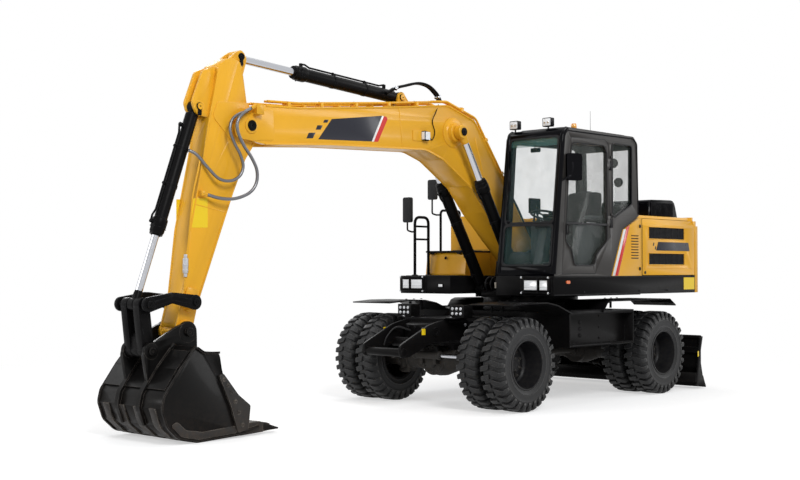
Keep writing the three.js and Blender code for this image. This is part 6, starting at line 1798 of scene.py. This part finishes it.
def boomDetail(bm):
    half = arm["boomHalf"]
    # flanges stand a little proud of the side plates
    for s in (1, -1):
        low, high = sorted((s * (half - 0.01), s * (half + 0.005)))
        addRibbon(bm, boomLine[1:8], low, high, 0.016, 0.003)
        addRibbon(bm, boomLine[10:17], low, high, 0.016, 0.003)
        # weld beads, doublers, label and stripes on each side
        addRibbon(bm, [(1.02, 2.3), (1.3, 3.1)], s * half, s * (half + 0.003), 0.005, 0.005)
        addRibbon(bm, [(2.55, 2.885), (2.6, 3.33)], s * half, s * (half + 0.003), 0.005, 0.005)
        addSidePlate(bm, [(4.909, 2.916, 0.09), (4.85, 3.05, 0.05), (4.74, 3.085, 0.04), (4.4, 3.12, 0.04),
            (4.4, 2.815, 0.04), (4.745, 2.8, 0.03), (4.88, 2.815, 0.08)], s, half, 0.004)
        addSidePlate(bm, [(0.25, 1.585, 0.09), (0.13, 1.72, 0.08), (0.33, 1.96, 0.06), (0.56, 1.86, 0.06),
            (0.43, 1.64, 0.08)], s, half, 0.005)
        addSidePlate(bm, [(3.617, 3.105), (2.871, 3.208), (3.028, 2.918), (3.809, 2.88)], s, half, 0.0018,
            1)
        addSidePlate(bm, [(2.871, 3.208), (2.842, 3.205), (2.997, 2.919), (3.028, 2.918)], s, half, 0.002,
            2)
        addSidePlate(bm, [(2.842, 3.205), (2.802, 3.205), (2.783, 3.18), (2.93, 2.922), (2.997, 2.919)], s,
            half, 0.002, 3)
        for chip in ([(3.721, 3.089), (3.661, 3.094), (3.68, 3.062), (3.74, 3.057)],
                [(3.819, 3.023), (3.746, 3.029), (3.773, 2.982), (3.844, 2.976)],
                [(3.94, 2.936), (3.846, 2.945), (3.881, 2.885), (3.971, 2.876)]):
            addSidePlate(bm, chip, s, half, 0.0018, 1)
        # round bosses and pin ends
        addLathe(bm, [(0.1, 0.176), (0.17, 0.176), (0.172, 0.182), (0.128, 0.186), (0.112, 0.2),
            (0.108, 0.244), (0.102, 0.25), (0.05, 0.25)], at(1.7, 0, 3.12), (0, s, 0), 0, 56, True)
        addPinCap(bm, 1.7, 3.12, 0.052, 0.249, s, 0)
        addEye(bm, 4.697, 2.943, 0.078, s * (half - 0.002), s * (half + 0.016))
        addPinCap(bm, 4.697, 2.943, 0.052, half + 0.014, s, 4)
        addEye(bm, 2.445, 3.461, 0.062, s * 0.045, s * 0.072)
        addPinCap(bm, 2.445, 3.461, 0.036, 0.071, s, 4)
        addEye(bm, 0.27, 1.7, 0.082, s * (half - 0.01), s * 0.1915)
        # lamp bracket on the side with its cable
        addSidePlate(bm, tile(2.13, 2.98, 2.38, 3.1, 0.01), s, half, 0.006)
        addBox(bm, (2.15, s * 0.18, 2.99), (2.205, s * 0.215, 3.09), 4)
        inner, outer = sorted((s * 0.178, s * 0.235))
        addPlate(bm, tile(inner, 2.99, outer, 3.095, 0.012), "x", 2.2, 2.24, 4)
        addPlate(bm, tile(2.157, 2.998, 2.233, 3.086, 0.01), "y", s * 0.234, s * 0.238, 5)
        addBox(bm, (2.239, s * 0.186, 3.0), (2.244, s * 0.228, 3.085), 5)
        cable = [at(2.15, s * 0.2, 3.05), at(2.07, s * 0.188, 3.01), at(2.02, s * 0.183, 3.1),
            at(2.06, s * 0.183, 3.22), at(2.0, s * 0.183, 3.33), at(1.92, s * 0.15, 3.425)]
        addTube(bm, smoothPath(cable, 0.02), 0.0055, 4, 10)
    # hydraulic pipes along the top with clamps, hoses to the stick cylinder and at the foot
    top = [(0.62, 2.505), (0.868, 2.83), (1.262, 3.33), (1.78, 3.474), (2.05, 3.446)]
    fore = [(1.55, 3.425), (1.78, 3.474), (2.881, 3.348), (4.055, 3.227), (4.47, 3.207)]
    for y, line, radius in ((0.15, top, 0.014), (0.105, top, 0.014), (-0.15, top, 0.014),
            (-0.105, top, 0.014), (0.15, fore[1:], 0.012), (0.11, fore[1:], 0.012),
            (-0.15, fore[1:], 0.012), (-0.11, fore[1:], 0.012)):
        addTube(bm, bentPath([at(x, y, z) for x, z in line], 0.16, 8), radius, 0, 14)
    for x, z, turn in ((0.78, 2.705, 52), (1.08, 3.085, 51), (1.52, 3.405, 16), (2.3, 3.4, -6.5),
            (2.75, 3.35, -6.5), (3.25, 3.295, -6), (3.75, 3.245, -6), (4.2, 3.205, -3)):
        spot = at(x, 0, z)
        before = set(bm.verts)
        for s in (1, -1):
            addBox(bm, (-slewX - 0.018, s * 0.085, -0.026), (-slewX + 0.018, s * 0.174, 0.022))
            addBolt(bm, Vector((0, s * 0.1275, 0.022)), axisZ, 0.009, 0.008, 4)
        bmesh.ops.transform(bm, matrix=Matrix.Translation(spot) @ Matrix.Rotation(-math.radians(turn), 4,
            "Y"), verts=[v for v in bm.verts if v not in before])
    for k, y in enumerate((0.1, 0.14)):
        hose = [at(2.7 + 0.02 * k, y * 0.72, 3.475), at(2.609, y, 3.54), at(2.45, y, 3.585),
            at(2.24, y, 3.635), at(2.06, y, 3.62), at(1.92, y, 3.54), at(1.87, y, 3.47)]
        addTube(bm, smoothPath(hose, 0.03), 0.015, 4, 14)
        for place in (at(1.9, y, 3.518), at(2.609, y, 3.54)):
            addLathe(bm, tile(0.014, -0.02, 0.019, 0.02), place, (0.55, 0, -0.8), 6, 20, True)
    for k in range(6):
        y = -0.15 + 0.06 * k
        foot = [at(0.64, y, 2.535), at(0.6, y, 2.47), at(0.42, y, 2.25), at(0.24, y, 1.98)]
        addTube(bm, smoothPath(foot, 0.03), 0.015, 4, 12)
        addLathe(bm, tile(0.014, -0.025, 0.02, 0.025), at(0.62, y, 2.505), (0.6, 0, 0.8), 0, 20, True)


refinedNode("boom", "boom", "yellowPaint", 0.005, boomDetail, ("blankLabel", "whiteStripe",
    "redStripe", "blackPaint", "lampLens", "zincPlate"))


def stickDetail(bm):
    half = arm["stickHalf"]
    back = [(4.567, 3.033), (4.567, 2.833, 0.1), (4.72, 2.62, 0.2), (4.871, 2.283), (5.274, 1.262)]
    front = [(5.536, 1.02), (5.448, 1.338), (5.379, 1.915, 0.3), (5.235, 2.565, 0.3), (5.144, 3.04)]
    for s in (1, -1):
        low, high = sorted((s * (half - 0.01), s * (half + 0.005)))
        addRibbon(bm, back, low, high, 0.003, 0.014)
        addRibbon(bm, front, low, high, 0.003, 0.014)
        # head gussets, doublers, blank yellow plate and pin ends
        addSidePlate(bm, [(4.62, 3.06, 0.08), (4.69, 3.17, 0.06), (5.06, 3.15, 0.05), (5.12, 3.0, 0.08),
            (4.86, 2.76, 0.08), (4.64, 2.79, 0.1)], s, half, 0.006)
        addSidePlate(bm, [(5.362, 2.212, 0.008), (5.172, 2.22, 0.008), (5.17, 1.944, 0.008),
            (5.361, 1.939, 0.008)], s, half, 0.0018, 1)
        addSidePlate(bm, [(5.28, 1.36, 0.06), (5.42, 1.4, 0.06), (5.44, 1.16, 0.08), (5.33, 1.14, 0.08)], s,
            half, 0.012)
        addRibbon(bm, [(4.97, 2.1), (5.33, 2.16)], s * half, s * (half + 0.003), 0.005, 0.005)
        addEye(bm, 5.443, 0.974, 0.0995, s * 0.095, s * 0.1455)
        addEye(bm, 5.392, 1.248, 0.0715, s * (half - 0.01), s * 0.194)
        addEye(bm, 4.697, 2.943, 0.0915, s * (half - 0.01), s * 0.123)
        for x, z, radius, low, high, cap in ((4.754, 3.616, 0.056, 0.052, 0.094, 0.036),
                (5.247, 3.086, 0.058, 0.043, 0.083, 0.036)):
            addEye(bm, x, z, radius, s * low, s * high)
            addPinCap(bm, x, z, cap, high - 0.002, s, 2)
            addSidePlate(bm, tile(x - 0.02, z - cap - 0.05, x + 0.02, z - cap + 0.004, 0.006), s, high,
                0.01, 2)
            addBolt(bm, at(x, s * (high + 0.01), z - cap - 0.03), (0, s, 0), 0.007, 0.006, 2)
        # flange along the head plates
        addRibbon(bm, [(4.748, 3.42), (4.69, 3.59, 0.05), (4.744, 3.69, 0.07), (4.83, 3.636, 0.05),
            (4.99, 3.49)], s * 0.086, s * 0.092, 0.012, 0.002)
    # pipes on the front face up to the bucket cylinder, with a valve low down
    pipe = [at(5.418, 0.124, 1.67), at(5.385, 0.124, 1.95), at(5.352, 0.126, 2.249), at(5.3, 0.126, 2.45),
        at(5.262, 0.12, 2.6)]
    addTube(bm, smoothPath(pipe, 0.05), 0.009, 0, 12)
    addBar(bm, at(5.426, 0.118, 1.515), at(5.426, 0.118, 1.655), 0.026, 3, 20)
    addBar(bm, at(5.426, 0.118, 1.655), at(5.426, 0.118, 1.69), 0.017, 3, 16)
    addBar(bm, at(5.426, 0.118, 1.48), at(5.426, 0.118, 1.515), 0.017, 3, 16)
    for dz in (0.02, 0.07, 0.12):
        addBar(bm, at(5.426, 0.118, 1.515 + dz), at(5.426, 0.118, 1.527 + dz), 0.03, 3, 6)


refinedNode("stick", "stick", "yellowPaint", 0.005, stickDetail,
    ("brightYellow", "blackPaint", "zincPlate"))

bucket = {"half": 0.5, "bolts": 6}
wrapLine = [(4.85, 0.07), (5.035, 0.032), (5.578, 0.012, 0.15), (5.77, 0.054, 0.15), (5.9, 0.17, 0.12),
    (5.956, 0.33, 0.12), (5.93, 0.44, 0.12), (5.76, 0.67), (5.59, 0.862)]


def bucketDetail(bm):
    half = bucket["half"]
    # heel wear strips, seams and two ribs down the back below the ears
    for y in (-0.36, -0.12, 0.12, 0.36):
        addRibbon(bm, wrapLine[2:6], y - 0.045, y + 0.045, 0.012, 0.004, 1)
    for y in (-0.165, 0.165):
        addRibbon(bm, wrapLine[4:9], y - 0.028, y + 0.028, 0.03, 0.004)
    for y in (-half + 0.008, half - 0.008):
        addRibbon(bm, wrapLine[1:9], y - 0.01, y + 0.01, 0.01, 0.004)
    addRibbon(bm, [(5.905, 0.49, 0.05), (5.78, 0.665, 0.05), (5.64, 0.82)], -0.47, 0.47, 0.006, 0.003)
    for s in (1, -1):
        # side cutter bolted along the open edge
        addSidePlate(bm, [(5.0, 0.075, 0.02), (5.12, 0.05, 0.02), (5.205, 0.3, 0.05), (5.345, 0.59, 0.05),
            (5.29, 0.6, 0.02), (5.12, 0.4, 0.06), (4.975, 0.29, 0.03)], s, half, 0.018, 1)
        for k in range(bucket["bolts"]):
            share = k / (bucket["bolts"] - 1)
            x, z = 5.07 + 0.215 * share, 0.12 + 0.43 * share + 0.05 * math.sin(math.pi * share)
            addBolt(bm, at(x, s * (half + 0.018), z), (0, s, 0), 0.014, 0.01, 1)
        # rim plate along the top of the side and a low wear plate
        addRibbon(bm, [(5.33, 0.795), (5.5, 0.8, 0.1), (5.58, 0.85)], s * (half - 0.004), s * (half + 0.01),
            0.01, 0.01)
        addSidePlate(bm, [(5.12, 0.05, 0.02), (5.56, 0.03, 0.06), (5.75, 0.07, 0.1), (5.865, 0.18, 0.08),
            (5.8, 0.21, 0.04), (5.7, 0.125, 0.08), (5.52, 0.095, 0.04), (5.145, 0.115, 0.02)], s, half,
            0.008, 1)
        addEye(bm, 5.443, 0.974, 0.1, s * 0.144, s * 0.1865)
        addEye(bm, 5.847, 0.817, 0.076, s * 0.144, s * 0.1865)
        addPinCap(bm, 5.443, 0.974, 0.043, 0.205, s, 0)
        addPinCap(bm, 5.847, 0.817, 0.037, 0.19, s, 0)
    # adapters and pointed teeth over the lip
    for i in range(5):
        y = -0.43 + 0.215 * i
        for z0, z1, w, x0, x1 in ((0.02, 0.122, 0.046, 4.79, 5.06), (0.036, 0.104, 0.036, 4.7, 4.83)):
            addPlate(bm, [(x1, z0 - 0.006), (x1, z1), (x0 + 0.04, z1 + 0.004), (x0, z1 - 0.01),
                (x0, z0 + 0.004)], "y", y - w, y + w, 1)
        rows = []
        for x, w, z0, z1 in ((4.82, 0.04, 0.024, 0.118), (4.74, 0.038, 0.03, 0.096),
                (4.66, 0.034, 0.036, 0.07), (4.592, 0.03, 0.038, 0.05)):
            rows.append([bm.verts.new(at(x, y + a * w, z)) for a, z in ((-1, z0), (1, z0), (0.85, z1),
                (-0.85, z1))])
        addShell(bm, rows, False, 1)
        addBar(bm, at(4.865, y - 0.05, 0.072), at(4.865, y + 0.05, 0.072), 0.011, 1, 12)


refinedNode("bucket", "bucket", "bucketPaint", 0.005, bucketDetail, ("wornSteel",))


def guideDetail(bm):
    for s in (1, -1):
        for x, z, radius in ((5.392, 1.248, 0.068), (5.9, 1.235, 0.066)):
            addEye(bm, x, z, radius + 0.0015, s * 0.1955, s * 0.2315)
            addPinCap(bm, x, z, 0.034, 0.2315, s, 0)
        addRibbon(bm, [(5.392, 1.312), (5.63, 1.34, 0.2), (5.9, 1.3)], s * 0.1955, s * 0.231, 0.004, 0.0015)
        addRibbon(bm, [(5.44, 1.252), (5.64, 1.292, 0.12), (5.85, 1.246)], s * 0.23, s * 0.234, 0.02, 0.02)


refinedNode("guide_links", "guide_links", "blackPaint", 0.006, guideDetail)


def bucketLinkDetail(bm):
    for s in (1, -1):
        addEye(bm, 5.9, 1.235, 0.0615, s * 0.052, s * 0.14)
        addEye(bm, 5.847, 0.817, 0.0635, s * 0.052, s * 0.14)
        addPlate(bm, [(5.862, 1.145, 0.02), (5.935, 1.145, 0.02), (5.892, 0.905, 0.02),
            (5.812, 0.905, 0.02)], "y", s * 0.139, s * 0.143)
    addEye(bm, 5.847, 0.817, 0.06, -0.05, 0.05)


refinedNode("bucket_link", "bucket_link", "blackPaint", 0.006, bucketLinkDetail)
print("arm made")


# what is left of the CAD nodes takes the finish of its slot
slotFinish = {"yellow_paint": "yellowPaint", "black_paint": "blackPaint", "cab_paint": "cabPaint",
    "tyre_rubber": "tyreRubber", "chrome": "chrome", "worn_steel": "wornSteel", "cast_iron": "castIron",
    "seat_fabric": "seatCloth", "trim_plastic": "trimPlastic", "braided_hose": "braid",
    "tinted_glass": "paneGlass"}
nodeSlots = {part["node"]: part["material_slot"] for part in frame["record"]["subparts"]}
for name, node in frame["nodes"].items():
    if not node.hide_render:
        for place in node.material_slots:
            place.material = paint[slotFinish[nodeSlots[name]]]
        print("CAD node kept:", name)
